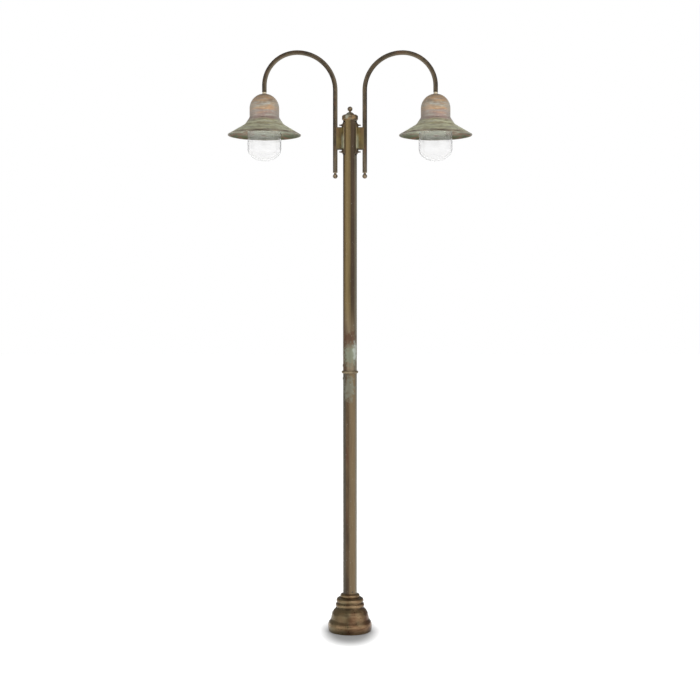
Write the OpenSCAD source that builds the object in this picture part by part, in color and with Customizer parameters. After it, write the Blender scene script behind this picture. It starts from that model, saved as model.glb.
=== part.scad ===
// Two-light garden lamp post: a jointed brass pole on a cast bell foot, two swan-neck arms,
// and at each arm's end a spun bell shade over a screw-in well glass with its lamp.
// Frame: the origin is on the ground at the pole's axis, +Z up, the arms along X, the front towards -Y.

/* [Pole] */
// Height of the pole's top end above the ground
pole_top = 2214; // [1850:1:2700]
// Outer diameter of both pole tubes
pole_d = 60; // [50:0.5:72]
// Wall of both pole tubes
pole_wall = 2.5; // [2:0.1:3]
// Height of the joint between the lower and the upper tube
joint_z = 1124; // [900:1:1350]
// Height of the bead that covers the joint
joint_ring_h = 12.4; // [10:0.1:16]

/* [Foot] */
// Outer diameter of the cast foot
foot_d = 190; // [158:1:228]
// Height of the cast foot
foot_h = 162; // [162:1:200]
// Thickness of the steel ground plate inside the foot
plate_t = 8; // [6:0.5:10]
// Distance of the anchor holes from the ground plate's edge
anchor_edge = 19.5; // [16:0.5:22]
// Diameter of the anchor holes
anchor_hole_d = 11; // [9:0.5:13]
// Diameter of the supply cable's hole in the ground plate
cable_entry_d = 40; // [30:1:46]

/* [Arms] */
// Outer diameter of the arm tubes
arm_d = 20; // [16.5:0.5:24]
// Wall of the arm tubes
arm_wall = 1.5; // [1.2:0.1:2]
// Gap between the pole and each arm tube
arm_gap = 24; // [20:0.5:30]
// Radius of the swan neck on the pole's side, at the tube's centre line
inner_bend_r = 164; // [137:1:197]
// Radius of the swan neck on the lamp's side, at the tube's centre line
outer_bend_r = 143; // [119:1:172]
// Height of the swan neck's top above the middle of the bracket, at the tube's centre line
arm_rise = 372; // [310:1:446]
// Length of the arm tube below the middle of the bracket
arm_tail = 146; // [122:1:176]
// Straight length at the lamp's end of the arm tube
arm_drop = 28; // [22:1:40]
// Height of the pale ferrule between the arm tube and the shade
ferrule_h = 8; // [6:0.5:10]

/* [Bracket] */
// Distance from the pole's top down to the middle of the brackets
bracket_drop = 78; // [77:1:110]
// Height of the cast bracket between saddle and arm tube
bracket_h = 96; // [80:1:104]
// Width of the bracket where it holds the arm tube
bracket_w = 24; // [21:0.5:28]
// Height of the saddle plate on the pole
saddle_h = 137; // [132:1:145]
// Thickness of the saddle plate
saddle_t = 5.9; // [5:0.1:7]
// Angle of the pole that one saddle covers
saddle_angle = 88; // [80:1:100]

/* [Shade] */
// Diameter of the shade over its rim
shade_d = 317; // [264:1:380]
// Diameter of the shade's dome
dome_d = 128; // [118:1:154]
// Height of the dome and its straight skirt
dome_h = 102; // [96:1:122]
// Thickness of the spun copper
shade_wall = 1.5; // [1.2:0.1:2]
// Diameter of the rolled bead at the rim
rim_bead_d = 5; // [4:0.1:7]
// Slope of the upper flare below the horizontal
steep_slope = 56.5; // [50:0.5:60]
// Slope of the lower flare below the horizontal
shallow_slope = 32.3; // [28:0.1:38]

/* [Glass] */
// Outer diameter of the well glass
glass_d = 145; // [121:1:174]
// Height of the well glass below its shoulder
glass_h = 164; // [137:1:197]
// Height of the rounded end of the well glass
glass_dome_h = 52; // [43:1:62]
// Wall of the well glass
glass_wall = 3.5; // [3:0.1:4.5]
// How far two turns of the screwed neck let the glass down
glass_travel = 10; // [6:0.5:12]

/* [Lamp] */
// Diameter of the bulb
bulb_d = 60; // [50:1:72]
// Length of the bulb with its cap
bulb_l = 105; // [98:1:120]
// Outer diameter of the lampholder
holder_d = 44; // [42:0.5:50]

/* [Hidden] */
$fn = 96;
bore_fit = 0.1;         // radial gap of a screw or a pin in its hole
tube_fit = 0.3;         // radial gap between a tube and the sleeve inside it
cast_fit = 0.15;        // radial gap between a casting and the tube that it holds
thread_fit = 0.6;       // radial gap of the glass neck and of the bulb cap in their threads

// Pole and foot
pole_r = pole_d / 2;
pole_bore_r = pole_r - pole_wall;
sleeve_r = pole_bore_r - tube_fit;
sleeve_wall = 3.2;
sleeve_half = 90;
spigot_l = 250;
ring_half = joint_ring_h / 2;
joint_screw_z = 28;
joint_screw_angles = [180, 60];
foot_r = foot_d / 2;
plate_r = foot_r - 13;
anchor_r = plate_r - anchor_edge;
ANCHOR_ANGLES = [0, 90, 180, 270];
earth_angle = 45;
earth_r = anchor_r - 12;
neck_ring_z = foot_h - 10;
grub_z = foot_h + 10;
GRUB_ANGLES = [-70, 50, 170];
COVER_SCREW_ANGLES = [60, 120];
m6_r = 3;

// Bracket and arms
bracket_z = pole_top - bracket_drop;
saddle_in = pole_r + bore_fit;
saddle_out = saddle_in + saddle_t;
saddle_screw_z = saddle_h / 2 - 10.5;
arm_screw_z = 20;
screw_r = 2.5;
cable_hole_r = 6;
arm_r = arm_d / 2;
arm_bore_r = arm_r - arm_wall;
arm_x = pole_r + arm_gap + arm_r;
bend_x = arm_x + inner_bend_r;
lamp_x = bend_x + outer_bend_r;
inner_bend_z = bracket_z + arm_rise - inner_bend_r;
outer_bend_z = bracket_z + arm_rise - outer_bend_r;
arm_end_z = outer_bend_z - arm_drop;
crown_z = arm_end_z - ferrule_h;
nipple_r = 5;
nipple_bore_r = 3.2;
lead_r = 2.5;
lead_bend_r = 10;
block_half = 12;
block_deep = 8;
strip_t = 2;
cap_plug_l = 15;

// Shade: heights below the crown are negative, and the crown is its flat top
dome_r = dome_d / 2;
crown_r = 10;
dome_centre = -sqrt(dome_r * dome_r - crown_r * crown_r);
glass_r = glass_d / 2;
knee_r = glass_r + 11.5;
knee_z = -(dome_h + (knee_r - dome_r) * tan(steep_slope));
rim_r = shade_d / 2 - rim_bead_d / 2;
rim_z = knee_z - (rim_r - knee_r) * tan(shallow_slope);

// Cup, glass and lamp, on the same heights as the shade
washer_t = 2;
cup_r = dome_r - 7;
cup_wall = 3;
cup_top = -shade_wall - washer_t;
pad_z = dome_centre + cup_r - cup_wall - 1.4;
glass_clear = 4;
mouth_z = -(dome_h + (glass_r + glass_clear + shade_wall - dome_r) * tan(steep_slope));
cup_bore_r = cup_r - cup_wall;
neck_r = cup_bore_r - 4;
land_h = 18;
gasket_t = 3;
flange_r = cup_r + 5;
shoulder_z = mouth_z - gasket_t;
nut_h = 4;
nut_r = 9.8;
holder_top = pad_z - nut_h - 1;
holder_r = holder_d / 2;
holder_mouth = holder_top - 52;
socket_r = 14.2;
socket_floor = holder_top - 22;
bulb_tip = socket_floor - 1.5;
cap_skirt = bulb_tip - 27.5;
cap_r = socket_r - thread_fit - 0.6;
bulb_r = bulb_d / 2;
bulb_centre = bulb_tip - bulb_l + bulb_r;
nipple_end = holder_top - 8;

SIDES = ["left", "right"];
POLE_NODES = ["ground_plate", "earth_stud", "foot_spigot", "foot_cover", "foot_cover_screws",
    "pole_grub_screws", "lower_pole", "joint_sleeve", "joint_ring", "joint_screws", "upper_pole", "pole_cap",
    "cap_finial", "terminal_carrier", "terminal_block"];
SIDE_NODES = ["post_saddle", "saddle_screws", "arm_bracket", "arm_screws", "arm_tube", "arm_end_ball",
    "arm_ferrule", "nipple", "lamp_lead", "shade", "crown_washer", "lamp_cup", "cup_nut", "lampholder",
    "holder_contacts", "glass_gasket", "well_glass", "bulb_contact", "bulb_cap", "bulb_globe",
    "bulb_filament"];

// ---- Profile functions ----

function unit(v) = v / norm(v);

// Points of an arc of radius r about c, from angle a0 to a1
function arc(c, r, a0, a1, n = 8) =
    [for (i = [0:n]) c + r * [cos(a0 + (a1 - a0) * i / n), sin(a0 + (a1 - a0) * i / n)]];

// Points of a quarter ellipse about [0, z], from its widest point down to the axis
function bowl(r, h, z, n = 16) = [for (i = [0:n]) [r * cos(90 * i / n), z - h * sin(90 * i / n)]];

// The corner b of the line a-b-c, rounded to radius r
function corner(a, b, c, r, n) = let (
        u = unit(a - b), v = unit(c - b), half = acos(u * v) / 2,
        centre = b + unit(u + v) * r / sin(half), from = b + u * r / tan(half) - centre,
        to = b + v * r / tan(half) - centre, a0 = atan2(from[1], from[0]), turn = atan2(to[1], to[0]) - a0,
        a1 = a0 + (turn > 180 ? turn - 360 : turn < -180 ? turn + 360 : turn))
    arc(centre, r, a0, a1, n);

// An open line whose corners are rounded, given as [x, z, radius]
function rounded(p, n = 6) = [for (i = [0:len(p) - 1])
    each (i == 0 || i == len(p) - 1 || p[i][2] == 0) ? [[p[i][0], p[i][1]]]
        : corner([p[i - 1][0], p[i - 1][1]], [p[i][0], p[i][1]], [p[i + 1][0], p[i + 1][1]], p[i][2], n)];

// Normal on the right of the segment that starts at point i
function side_normal(p, i) = let (d = unit(p[i + 1] - p[i])) [d[1], -d[0]];

// Point i of a line moved by t to its right, mitred between its two segments
function moved(p, i, t) = let (
        n0 = side_normal(p, max(i - 1, 0)), n1 = side_normal(p, min(i, len(p) - 2)), m = unit(n0 + n1))
    p[i] + m * t / (m * n0);

// Closed outline of a wall of thickness t on the right of a line, counterclockwise for a line that leads down
function wall(p, t) =
    concat([for (i = [0:len(p) - 1]) moved(p, i, t)], [for (i = [len(p) - 1:-1:0]) p[i]]);

// ---- Helpers ----

module on_side(side) {
    if (side == "left") mirror([1, 0, 0]) children();
    else children();
}

module tube(r_out, r_in, h) {
    difference() {
        cylinder(r = r_out, h = h);
        translate([0, 0, -1]) cylinder(r = r_in, h = h + 2);
    }
}

// A cylinder along +X, from x0 to x1
module rod_x(r, x0, x1) {
    translate([x0, 0, 0]) rotate([0, 90, 0]) cylinder(r = r, h = x1 - x0);
}

// Children turned to each of the angles about the pole
module around(angles) {
    for (a = angles) rotate([0, 0, a]) children();
}

// A headless set screw along +X with a hexagon socket in its outer end
module grub_screw(r, x0, x1) {
    socket = r * 0.55;
    difference() {
        rod_x(r, x0, x1);
        translate([x1 - r * 0.8, 0, 0]) rotate([0, 90, 0]) cylinder(r = socket, h = r, $fn = 6);
    }
}

// ---- Foot and pole ----

module ground_plate() color("slategray") {
    difference() {
        cylinder(r = plate_r, h = plate_t);
        translate([0, 0, -1]) cylinder(d = cable_entry_d, h = plate_t + 2);
        around(ANCHOR_ANGLES) translate([anchor_r, 0, -1]) cylinder(d = anchor_hole_d, h = plate_t + 2);
    }
}

module earth_stud() color("goldenrod") {
    stud_r = 4;
    rotate([0, 0, earth_angle]) translate([earth_r, 0, plate_t]) {
        cylinder(r = stud_r, h = 25);
        difference() {
            union() {
                cylinder(r = 7.5, h = 6.5, $fn = 6);
                translate([0, 0, 13]) cylinder(r = 7.5, h = 6.5, $fn = 6);
                translate([0, 0, 10]) cylinder(r = 9, h = 3);
            }
            translate([0, 0, -1]) cylinder(r = stud_r - 0.5, h = 30);
        }
    }
}

module foot_spigot() color("slategray") {
    difference() {
        translate([0, 0, plate_t]) tube(sleeve_r, sleeve_r - sleeve_wall, spigot_l);
        translate([0, 0, grub_z]) around(GRUB_ANGLES) rod_x(m6_r + bore_fit, sleeve_r - 8, sleeve_r + 2);
    }
}

// Outline of the cast foot, from the pole down to the ground
function foot_line() = let (r = pole_r, low = foot_h - 162) concat(
    [[r + 1.5, foot_h], [r + 4, foot_h - 0.6]],
    arc([r + 3, neck_ring_z - 0.5], 9.2, 80, -40, 7),
    arc([r + 17.5, low + 132], 11.5, 80, -42, 7),
    arc([r + 21.8, low + 111.8], 10.6, 54, -50, 7),
    rounded([[r + 28.6, low + 102.6, 0], [foot_r - 23.8, low + 89, 20], [foot_r - 18.6, low + 80.5, 4],
        [foot_r - 17.6, low + 78.5, 0], [foot_r - 15.9, low + 72, 6], [foot_r - 12.2, low + 52, 10],
        [foot_r - 3.6, low / 2 + 40, 8], [foot_r - 0.2, low / 2 + 28, 12], [foot_r, low / 2 + 14, 14],
        [foot_r - 2.6, 2, 4], [foot_r - 4, 0, 0]]));

module foot_cover() color("peru") {
    wall_t = 5;
    top = foot_h - 44;
    difference() {
        rotate_extrude() polygon(concat([[0, 0], [0, foot_h]], foot_line()));
        rotate_extrude() polygon([[0, -1], [foot_r - 4 - wall_t, -1], [foot_r - 4 - wall_t, 30],
            [foot_r - 13 - wall_t, foot_h - 114], [foot_r - 20 - wall_t, foot_h - 84],
            [foot_r - 31 - wall_t, foot_h - 72], [pole_r + 20, foot_h - 64], [pole_r + 15, top], [0, top]]);
        translate([0, 0, -1]) cylinder(r = pole_r + cast_fit, h = foot_h + 2);
        translate([0, 0, neck_ring_z]) around(COVER_SCREW_ANGLES)
            rod_x(m6_r + bore_fit, pole_r - 2, pole_r + 20);
    }
}

module foot_cover_screws() color("dimgray") {
    translate([0, 0, neck_ring_z]) around(COVER_SCREW_ANGLES)
        grub_screw(m6_r, pole_r + bore_fit, pole_r + 11.6);
}

module pole_grub_screws() color("dimgray") {
    translate([0, 0, grub_z]) around(GRUB_ANGLES) grub_screw(m6_r, sleeve_r - 2.7, pole_r + 0.6);
}

module lower_pole() color("peru") {
    difference() {
        translate([0, 0, plate_t]) tube(pole_r, pole_bore_r, joint_z - ring_half - plate_t);
        translate([0, 0, grub_z]) around(GRUB_ANGLES) rod_x(m6_r + bore_fit, pole_bore_r - 2, pole_r + 2);
        translate([0, 0, joint_z - joint_screw_z]) around(joint_screw_angles)
            rod_x(m6_r + bore_fit, pole_bore_r - 2, pole_r + 2);
    }
}

module joint_sleeve() color("slategray") {
    difference() {
        translate([0, 0, joint_z - sleeve_half]) tube(sleeve_r, sleeve_r - sleeve_wall, 2 * sleeve_half);
        for (dz = [-joint_screw_z, joint_screw_z]) translate([0, 0, joint_z + dz])
            around(joint_screw_angles) rod_x(m6_r + bore_fit, sleeve_r - 8, sleeve_r + 2);
    }
}

module joint_ring() color("peru") {
    translate([0, 0, joint_z]) rotate_extrude() intersection() {
        translate([pole_bore_r, -ring_half]) square([pole_wall + ring_half + 1, joint_ring_h]);
        union() {
            translate([pole_bore_r, -ring_half]) square([pole_wall, joint_ring_h]);
            translate([pole_r, 0]) circle(r = ring_half);
        }
    }
}

module joint_screws() color("dimgray") {
    head_r = 5;
    head_h = 1.6;
    for (dz = [-joint_screw_z, joint_screw_z]) translate([0, 0, joint_z + dz]) around(joint_screw_angles)
        difference() {
            union() {
                rod_x(m6_r, sleeve_r - 2.7, pole_r + 1);
                translate([pole_r + bore_fit, 0, 0]) rotate([0, 90, 0])
                    cylinder(r1 = head_r, r2 = head_r - 1.2, h = head_h);
            }
            translate([pole_r + head_h - 1.2, 0, 0]) rotate([0, 90, 0]) cylinder(r = 2, h = 3, $fn = 6);
        }
}

module upper_pole() color("peru") {
    foot = joint_z + ring_half;
    difference() {
        translate([0, 0, foot]) tube(pole_r, pole_bore_r, pole_top - foot);
        translate([0, 0, joint_z + joint_screw_z]) around(joint_screw_angles)
            rod_x(m6_r + bore_fit, pole_bore_r - 2, pole_r + 2);
        translate([0, 0, bracket_z]) rod_x(cable_hole_r, -pole_r - 2, pole_r + 2);
        for (dz = [-saddle_screw_z, saddle_screw_z]) translate([0, 0, bracket_z + dz])
            rod_x(screw_r + bore_fit, -pole_r - 2, pole_r + 2);
    }
}

// Bead and small dome on the pole's top, with a plug in the tube
function cap_line() = let (r = pole_r) concat(
    [[0, -cap_plug_l], [pole_bore_r - cast_fit, -cap_plug_l], [pole_bore_r - cast_fit, 0], [r + 0.5, 0]],
    rounded([[r + 0.5, 0, 0], [r + 4.8, 4.5, 5], [r + 4.8, 19.5, 5], [r - 1, 24, 3], [r - 8.5, 24.4, 1],
        [r - 10.5, 26.2, 0]]),
    rounded([[r - 12.3, 27, 0], [r - 16, 32.2, 8], [6.5, 35.8, 6], [4.5, 38.2, 0]]),
    [[0, 38.2]]);

module pole_cap() color("peru") {
    translate([0, 0, pole_top]) difference() {
        rotate_extrude() polygon(cap_line());
        translate([0, 0, 26]) cylinder(r = m6_r + bore_fit, h = 20);
    }
}

module cap_finial() color("peru") {
    ball_r = 11;
    translate([0, 0, pole_top]) {
        translate([0, 0, 49.7]) sphere(r = ball_r);
        translate([0, 0, 27]) cylinder(r = m6_r, h = 18);
        translate([0, 0, 38.3]) cylinder(r1 = 4.2, r2 = 3.4, h = 4);
    }
}

module terminal_carrier() color("silver") {
    bottom = bracket_z - 30;
    translate([-9, block_deep, bottom]) cube([18, strip_t, pole_top - cap_plug_l - bottom]);
    translate([-9, block_deep - 14, pole_top - cap_plug_l - strip_t]) cube([18, 14.5, strip_t]);
}

module terminal_block() color("ivory") {
    way = 6;
    translate([0, 0, bracket_z]) difference() {
        translate([-block_half, -block_deep, -18]) cube([2 * block_half, 2 * block_deep, 36]);
        for (dz = [-2 * way, 2 * way], x = [-way, way]) translate([x, 1 - block_deep, dz])
            rotate([90, 0, 0]) cylinder(r = 2.2, h = 3);
        for (dz = [-way, way], x = [-way, way]) translate([x, 1 - block_deep, dz])
            rotate([90, 0, 0]) cylinder(r = 2.2, h = 3);
    }
}

// ---- Arm, in the right-hand place ----

// Curved plate on the pole, thinned to a step at both ends
module post_saddle() color("peru") {
    half = saddle_h / 2;
    slope = [[saddle_in, half], [saddle_in + 2, half], [saddle_in + 2.8, half - 3.5],
        [saddle_out, half - 7.5]];
    translate([0, 0, bracket_z]) difference() {
        rotate([0, 0, -saddle_angle / 2]) rotate_extrude(angle = saddle_angle)
            polygon(concat(slope, [for (i = [3:-1:0]) [slope[i][0], -slope[i][1]]]));
        rod_x(cable_hole_r, pole_r - 5, saddle_out + 5);
        for (dz = [-saddle_screw_z, saddle_screw_z]) translate([0, 0, dz])
            rod_x(screw_r + bore_fit, pole_r - 5, saddle_out + 5);
        for (dz = [-arm_screw_z, arm_screw_z]) translate([0, 0, dz]) {
            rod_x(screw_r + bore_fit, pole_r - 5, saddle_out + 5);
            translate([pole_r - 1, 0, 0]) rotate([0, 90, 0])
                cylinder(r1 = 2 * screw_r + 1, r2 = screw_r, h = 4);
        }
    }
}

// Stud, collar and domed nut at the top and the bottom of the saddle
module saddle_screws() color("peru") {
    nose_r = 2.8;
    for (dz = [-saddle_screw_z, saddle_screw_z]) translate([0, 0, bracket_z + dz]) {
        rod_x(screw_r, pole_bore_r - 1, saddle_out + 3);
        rod_x(4.6, saddle_out + bore_fit, saddle_out + 2.4);
        rod_x(nose_r, saddle_out + 2, saddle_out + 8.2);
        translate([saddle_out + 8.2, 0, 0]) sphere(r = nose_r);
    }
}

// Cast web with hollowed flanks: wide against the saddle, narrow where it cradles the arm tube
module arm_bracket() color("peru") {
    flank_r = 16;
    waist_x = arm_x - arm_r - 8;
    wide = bracket_w / 2 + 14;
    translate([0, 0, bracket_z]) difference() {
        translate([0, 0, -bracket_h / 2]) linear_extrude(height = bracket_h) difference() {
            union() {
                translate([pole_r - 4, -bracket_w / 2]) square([arm_x - pole_r, bracket_w]);
                difference() {
                    translate([pole_r - 4, -wide]) square([waist_x - pole_r + 4, 2 * wide]);
                    for (s = [-1, 1])
                        translate([waist_x, s * (bracket_w / 2 + flank_r)]) circle(r = flank_r);
                }
            }
            circle(r = saddle_out + bore_fit);
            translate([arm_x, 0]) circle(r = arm_r + bore_fit);
        }
        rod_x(cable_hole_r, pole_r, arm_x);
        for (dz = [-arm_screw_z, arm_screw_z]) translate([0, 0, dz]) rod_x(screw_r + bore_fit, pole_r, arm_x);
    }
}

// Countersunk screws from the saddle's back through the bracket into the arm tube
module arm_screws() color("dimgray") {
    tip = arm_x - arm_bore_r + 2;
    for (dz = [-arm_screw_z, arm_screw_z]) translate([0, 0, bracket_z + dz]) {
        rod_x(screw_r, saddle_in + 1, tip);
        translate([saddle_in + 0.2, 0, 0]) rotate([0, 90, 0])
            cylinder(r1 = 2 * screw_r - 0.4, r2 = screw_r, h = 2.4);
    }
}

// The two arcs of the swan neck, swept by the child: wide on the pole's side, tighter on the lamp's side
module swan_neck() {
    translate([bend_x, 0, inner_bend_z]) rotate([90, 0, 0]) rotate([0, 0, 90])
        rotate_extrude(angle = 90) translate([inner_bend_r, 0]) children();
    translate([bend_x, 0, outer_bend_z]) rotate([90, 0, 0])
        rotate_extrude(angle = 90) translate([outer_bend_r, 0]) children();
}

module arm_tube() color("peru") {
    tail_z = bracket_z - arm_tail;
    difference() {
        union() {
            translate([arm_x, 0, tail_z]) tube(arm_r, arm_bore_r, inner_bend_z - tail_z);
            translate([lamp_x, 0, arm_end_z]) tube(arm_r, arm_bore_r, arm_drop);
            swan_neck() difference() {
                circle(r = arm_r);
                circle(r = arm_bore_r);
            }
        }
        translate([0, 0, bracket_z]) rod_x(cable_hole_r, arm_x - arm_r - 2, arm_x);
        for (dz = [-arm_screw_z, arm_screw_z]) translate([0, 0, bracket_z + dz])
            rod_x(screw_r + bore_fit, arm_x - arm_r - 2, arm_x);
    }
}

module arm_end_ball() color("peru") {
    ball_r = 10.5;
    translate([arm_x, 0, bracket_z - arm_tail]) {
        cylinder(r = arm_bore_r - bore_fit, h = 12);
        translate([0, 0, -2]) cylinder(r = arm_r, h = 2);
        translate([0, 0, -8.5]) cylinder(r = 5.5, h = 7);
        translate([0, 0, -17]) sphere(r = ball_r);
    }
}

// Pale ferrule below the arm tube, with a bush in the tube that takes the nipple
module arm_ferrule() color("khaki") {
    translate([lamp_x, 0, crown_z]) difference() {
        union() {
            cylinder(r = arm_r - 1, h = ferrule_h);
            translate([0, 0, ferrule_h]) cylinder(r = arm_bore_r - bore_fit, h = 12);
        }
        translate([0, 0, -1]) cylinder(r = nipple_r + bore_fit, h = ferrule_h + 14);
    }
}

module nipple() color("silver") {
    translate([lamp_x, 0, crown_z + nipple_end]) tube(nipple_r, nipple_bore_r, ferrule_h + 10 - nipple_end);
}

// Flexible lead from the terminal block through the bracket and the arm tube into the lampholder
module lamp_lead() color("dimgray") {
    turn_x = arm_x - lead_bend_r;
    end_z = crown_z + nipple_end - 6;
    translate([0, 0, bracket_z]) rod_x(lead_r, block_half, turn_x);
    translate([turn_x, 0, bracket_z + lead_bend_r]) rotate([90, 0, 0]) rotate_extrude(angle = -90)
        translate([lead_bend_r, 0]) circle(r = lead_r);
    translate([arm_x, 0, bracket_z + lead_bend_r])
        cylinder(r = lead_r, h = inner_bend_z - bracket_z - lead_bend_r);
    swan_neck() circle(r = lead_r);
    translate([lamp_x, 0, end_z]) cylinder(r = lead_r, h = outer_bend_z - end_z);
}

// ---- Lamp head, in the right-hand place ----

module on_lamp() {
    translate([lamp_x, 0, crown_z]) children();
}

// Outer line of the spun shade, from its hole down to the rim
function shade_line() = let (crown_angle = acos(crown_r / dome_r)) concat(
    [[nipple_r + 0.2, 0]],
    arc([0, dome_centre], dome_r, crown_angle, 0, 18),
    rounded([[dome_r, dome_centre - 1, 0], [dome_r, -dome_h, 14], [knee_r, knee_z, 34], [rim_r, rim_z, 0]]));

module shade() color("darkseagreen") {
    on_lamp() rotate_extrude() {
        polygon(wall(shade_line(), shade_wall));
        translate([rim_r, rim_z - 0.4]) circle(d = rim_bead_d);
    }
}

module crown_washer() color("dimgray") {
    on_lamp() translate([0, 0, cup_top]) tube(9, nipple_r + bore_fit, washer_t);
}

// Cast cup inside the dome: it carries the lampholder and its screwed mouth takes the glass
module lamp_cup() color("silver") {
    land = mouth_z + land_h;
    on_lamp() rotate_extrude() polygon(concat(
        [[nipple_r + bore_fit, cup_top], [9.5, cup_top], [9.5, dome_centre + cup_r - 1]],
        arc([0, dome_centre], cup_r, acos(9.5 / cup_r) - 1, 0, 12),
        [[cup_r, mouth_z + 5], [flange_r, mouth_z + 4], [flange_r, mouth_z],
         [neck_r + thread_fit, mouth_z], [neck_r + thread_fit, land], [cup_bore_r, land + 3],
         [cup_bore_r, dome_centre]],
        arc([0, dome_centre], cup_bore_r, 3, acos(13 / cup_bore_r), 12),
        [[12, pad_z], [nipple_r + bore_fit, pad_z]]));
}

module cup_nut() color("silver") {
    on_lamp() translate([0, 0, pad_z - nut_h]) difference() {
        cylinder(r = nut_r, h = nut_h, $fn = 6);
        translate([0, 0, -1]) cylinder(r = nipple_r + 0.05, h = nut_h + 2);
    }
}

module lampholder() color("ivory") {
    on_lamp() difference() {
        rotate_extrude() polygon([[0, holder_top], [11, holder_top], [11, holder_top - 9],
            [17, holder_top - 11], [holder_r, holder_top - 18], [holder_r, holder_mouth + 3],
            [holder_r - 2, holder_mouth], [0, holder_mouth]]);
        translate([0, 0, holder_mouth - 1]) cylinder(r = socket_r, h = socket_floor - holder_mouth + 1);
        translate([0, 0, nipple_end]) cylinder(r = nipple_r + bore_fit, h = 20);
        translate([0, 0, nipple_end - 8]) cylinder(r = 8, h = 8);
    }
}

// Screw shell and centre contact inside the lampholder
module holder_contacts() color("goldenrod") {
    on_lamp() {
        translate([0, 0, socket_floor - 24]) tube(socket_r - 0.1, socket_r - 0.6, 22);
        translate([0, 0, socket_floor - 1.3]) cylinder(r1 = 2.5, r2 = 4.5, h = 1.3);
    }
}

module glass_gasket() color("dimgray") {
    on_lamp() translate([0, 0, shoulder_z + 0.2]) tube(flange_r - 1, neck_r + 0.8, gasket_t - 0.4);
}

// Well glass: screwed neck, shoulder, cylinder and rounded end, open at the neck
module well_glass() color("azure", 0.4) {
    body_r = glass_r - glass_wall;
    end_z = shoulder_z - glass_h + glass_dome_h;
    outer = concat([[neck_r, shoulder_z + land_h], [neck_r, shoulder_z]],
        rounded([[neck_r, shoulder_z, 0], [glass_r, shoulder_z, 14], [glass_r, end_z, 0]]),
        bowl(glass_r, glass_dome_h, end_z));
    inner = concat([[neck_r - glass_wall, shoulder_z + land_h]],
        rounded([[neck_r - glass_wall, shoulder_z + 4, 0], [neck_r - glass_wall, shoulder_z - glass_wall, 2],
            [body_r, shoulder_z - glass_wall, 10.5], [body_r, end_z, 0]]),
        bowl(body_r, glass_dome_h - glass_wall, end_z));
    on_lamp() rotate_extrude() polygon(concat(outer, [for (i = [len(inner) - 1:-1:0]) inner[i]]));
}

module bulb_contact() color("silver") {
    on_lamp() translate([0, 0, bulb_tip - 1.8]) cylinder(r1 = 5, r2 = 4, h = 1.8);
}

module bulb_cap() color("silver") {
    ridges = 6;
    pitch = 3.6;
    on_lamp() rotate_extrude() union() {
        polygon([[0, bulb_tip - 7], [cap_r - 1.4, bulb_tip - 7], [cap_r - 1.4, cap_skirt],
            [cap_r, cap_skirt], [cap_r - 0.6, cap_skirt + 3], [cap_r - 0.6, bulb_tip - 5],
            [11, bulb_tip - 5], [5, bulb_tip - 2.1], [0, bulb_tip - 2.1]]);
        for (i = [0:ridges - 1]) translate([cap_r - 1, bulb_tip - 6 - i * pitch]) circle(r = 1, $fn = 24);
    }
}

module bulb_globe() color("azure", 0.4) {
    skin = 1;
    neck = cap_r - 2.3;
    line = concat(rounded([[neck, bulb_tip - 8, 0], [neck, cap_skirt - 6, 15],
        [bulb_r * 0.87, bulb_centre + bulb_r * 0.52, 0]]), arc([0, bulb_centre], bulb_r, 28, -90, 18));
    on_lamp() rotate_extrude() intersection() {
        polygon(wall(line, skin));
        translate([0, bulb_centre - bulb_r]) square([bulb_r, bulb_l]);
    }
}

// Glass stem and four upright filaments inside the bulb
module bulb_filament() color("gold") {
    stem_top = bulb_tip - 7.2;
    stem_end = bulb_centre + bulb_r * 0.55;
    on_lamp() {
        translate([0, 0, stem_end]) cylinder(r1 = 3, r2 = 5, h = stem_top - stem_end);
        around([45, 135, 225, 315]) {
            translate([2.2, 0, bulb_centre - 12]) cylinder(r = 0.9, h = stem_end + 16 - bulb_centre);
        }
        translate([0, 0, bulb_centre - 13]) cylinder(r = 3.6, h = 1.4);
    }
}

// ---- Nodes ----

ground_plate();
earth_stud();
foot_spigot();
foot_cover();
foot_cover_screws();
pole_grub_screws();
lower_pole();
joint_sleeve();
joint_ring();
joint_screws();
upper_pole();
pole_cap();
cap_finial();
terminal_carrier();
terminal_block();
for (side = SIDES) {
    on_side(side) post_saddle();
    on_side(side) saddle_screws();
    on_side(side) arm_bracket();
    on_side(side) arm_screws();
    on_side(side) arm_tube();
    on_side(side) arm_end_ball();
    on_side(side) arm_ferrule();
    on_side(side) nipple();
    on_side(side) lamp_lead();
    on_side(side) shade();
    on_side(side) crown_washer();
    on_side(side) lamp_cup();
    on_side(side) cup_nut();
    on_side(side) lampholder();
    on_side(side) holder_contacts();
    on_side(side) glass_gasket();
    on_side(side) well_glass();
    on_side(side) bulb_contact();
    on_side(side) bulb_cap();
    on_side(side) bulb_globe();
    on_side(side) bulb_filament();
}
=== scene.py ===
"""Looks of a garden lamp post with two lights: aged brass, weathered copper and clear glass."""

import math

import bmesh
import bpy
from mathutils import Matrix, Vector


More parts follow.
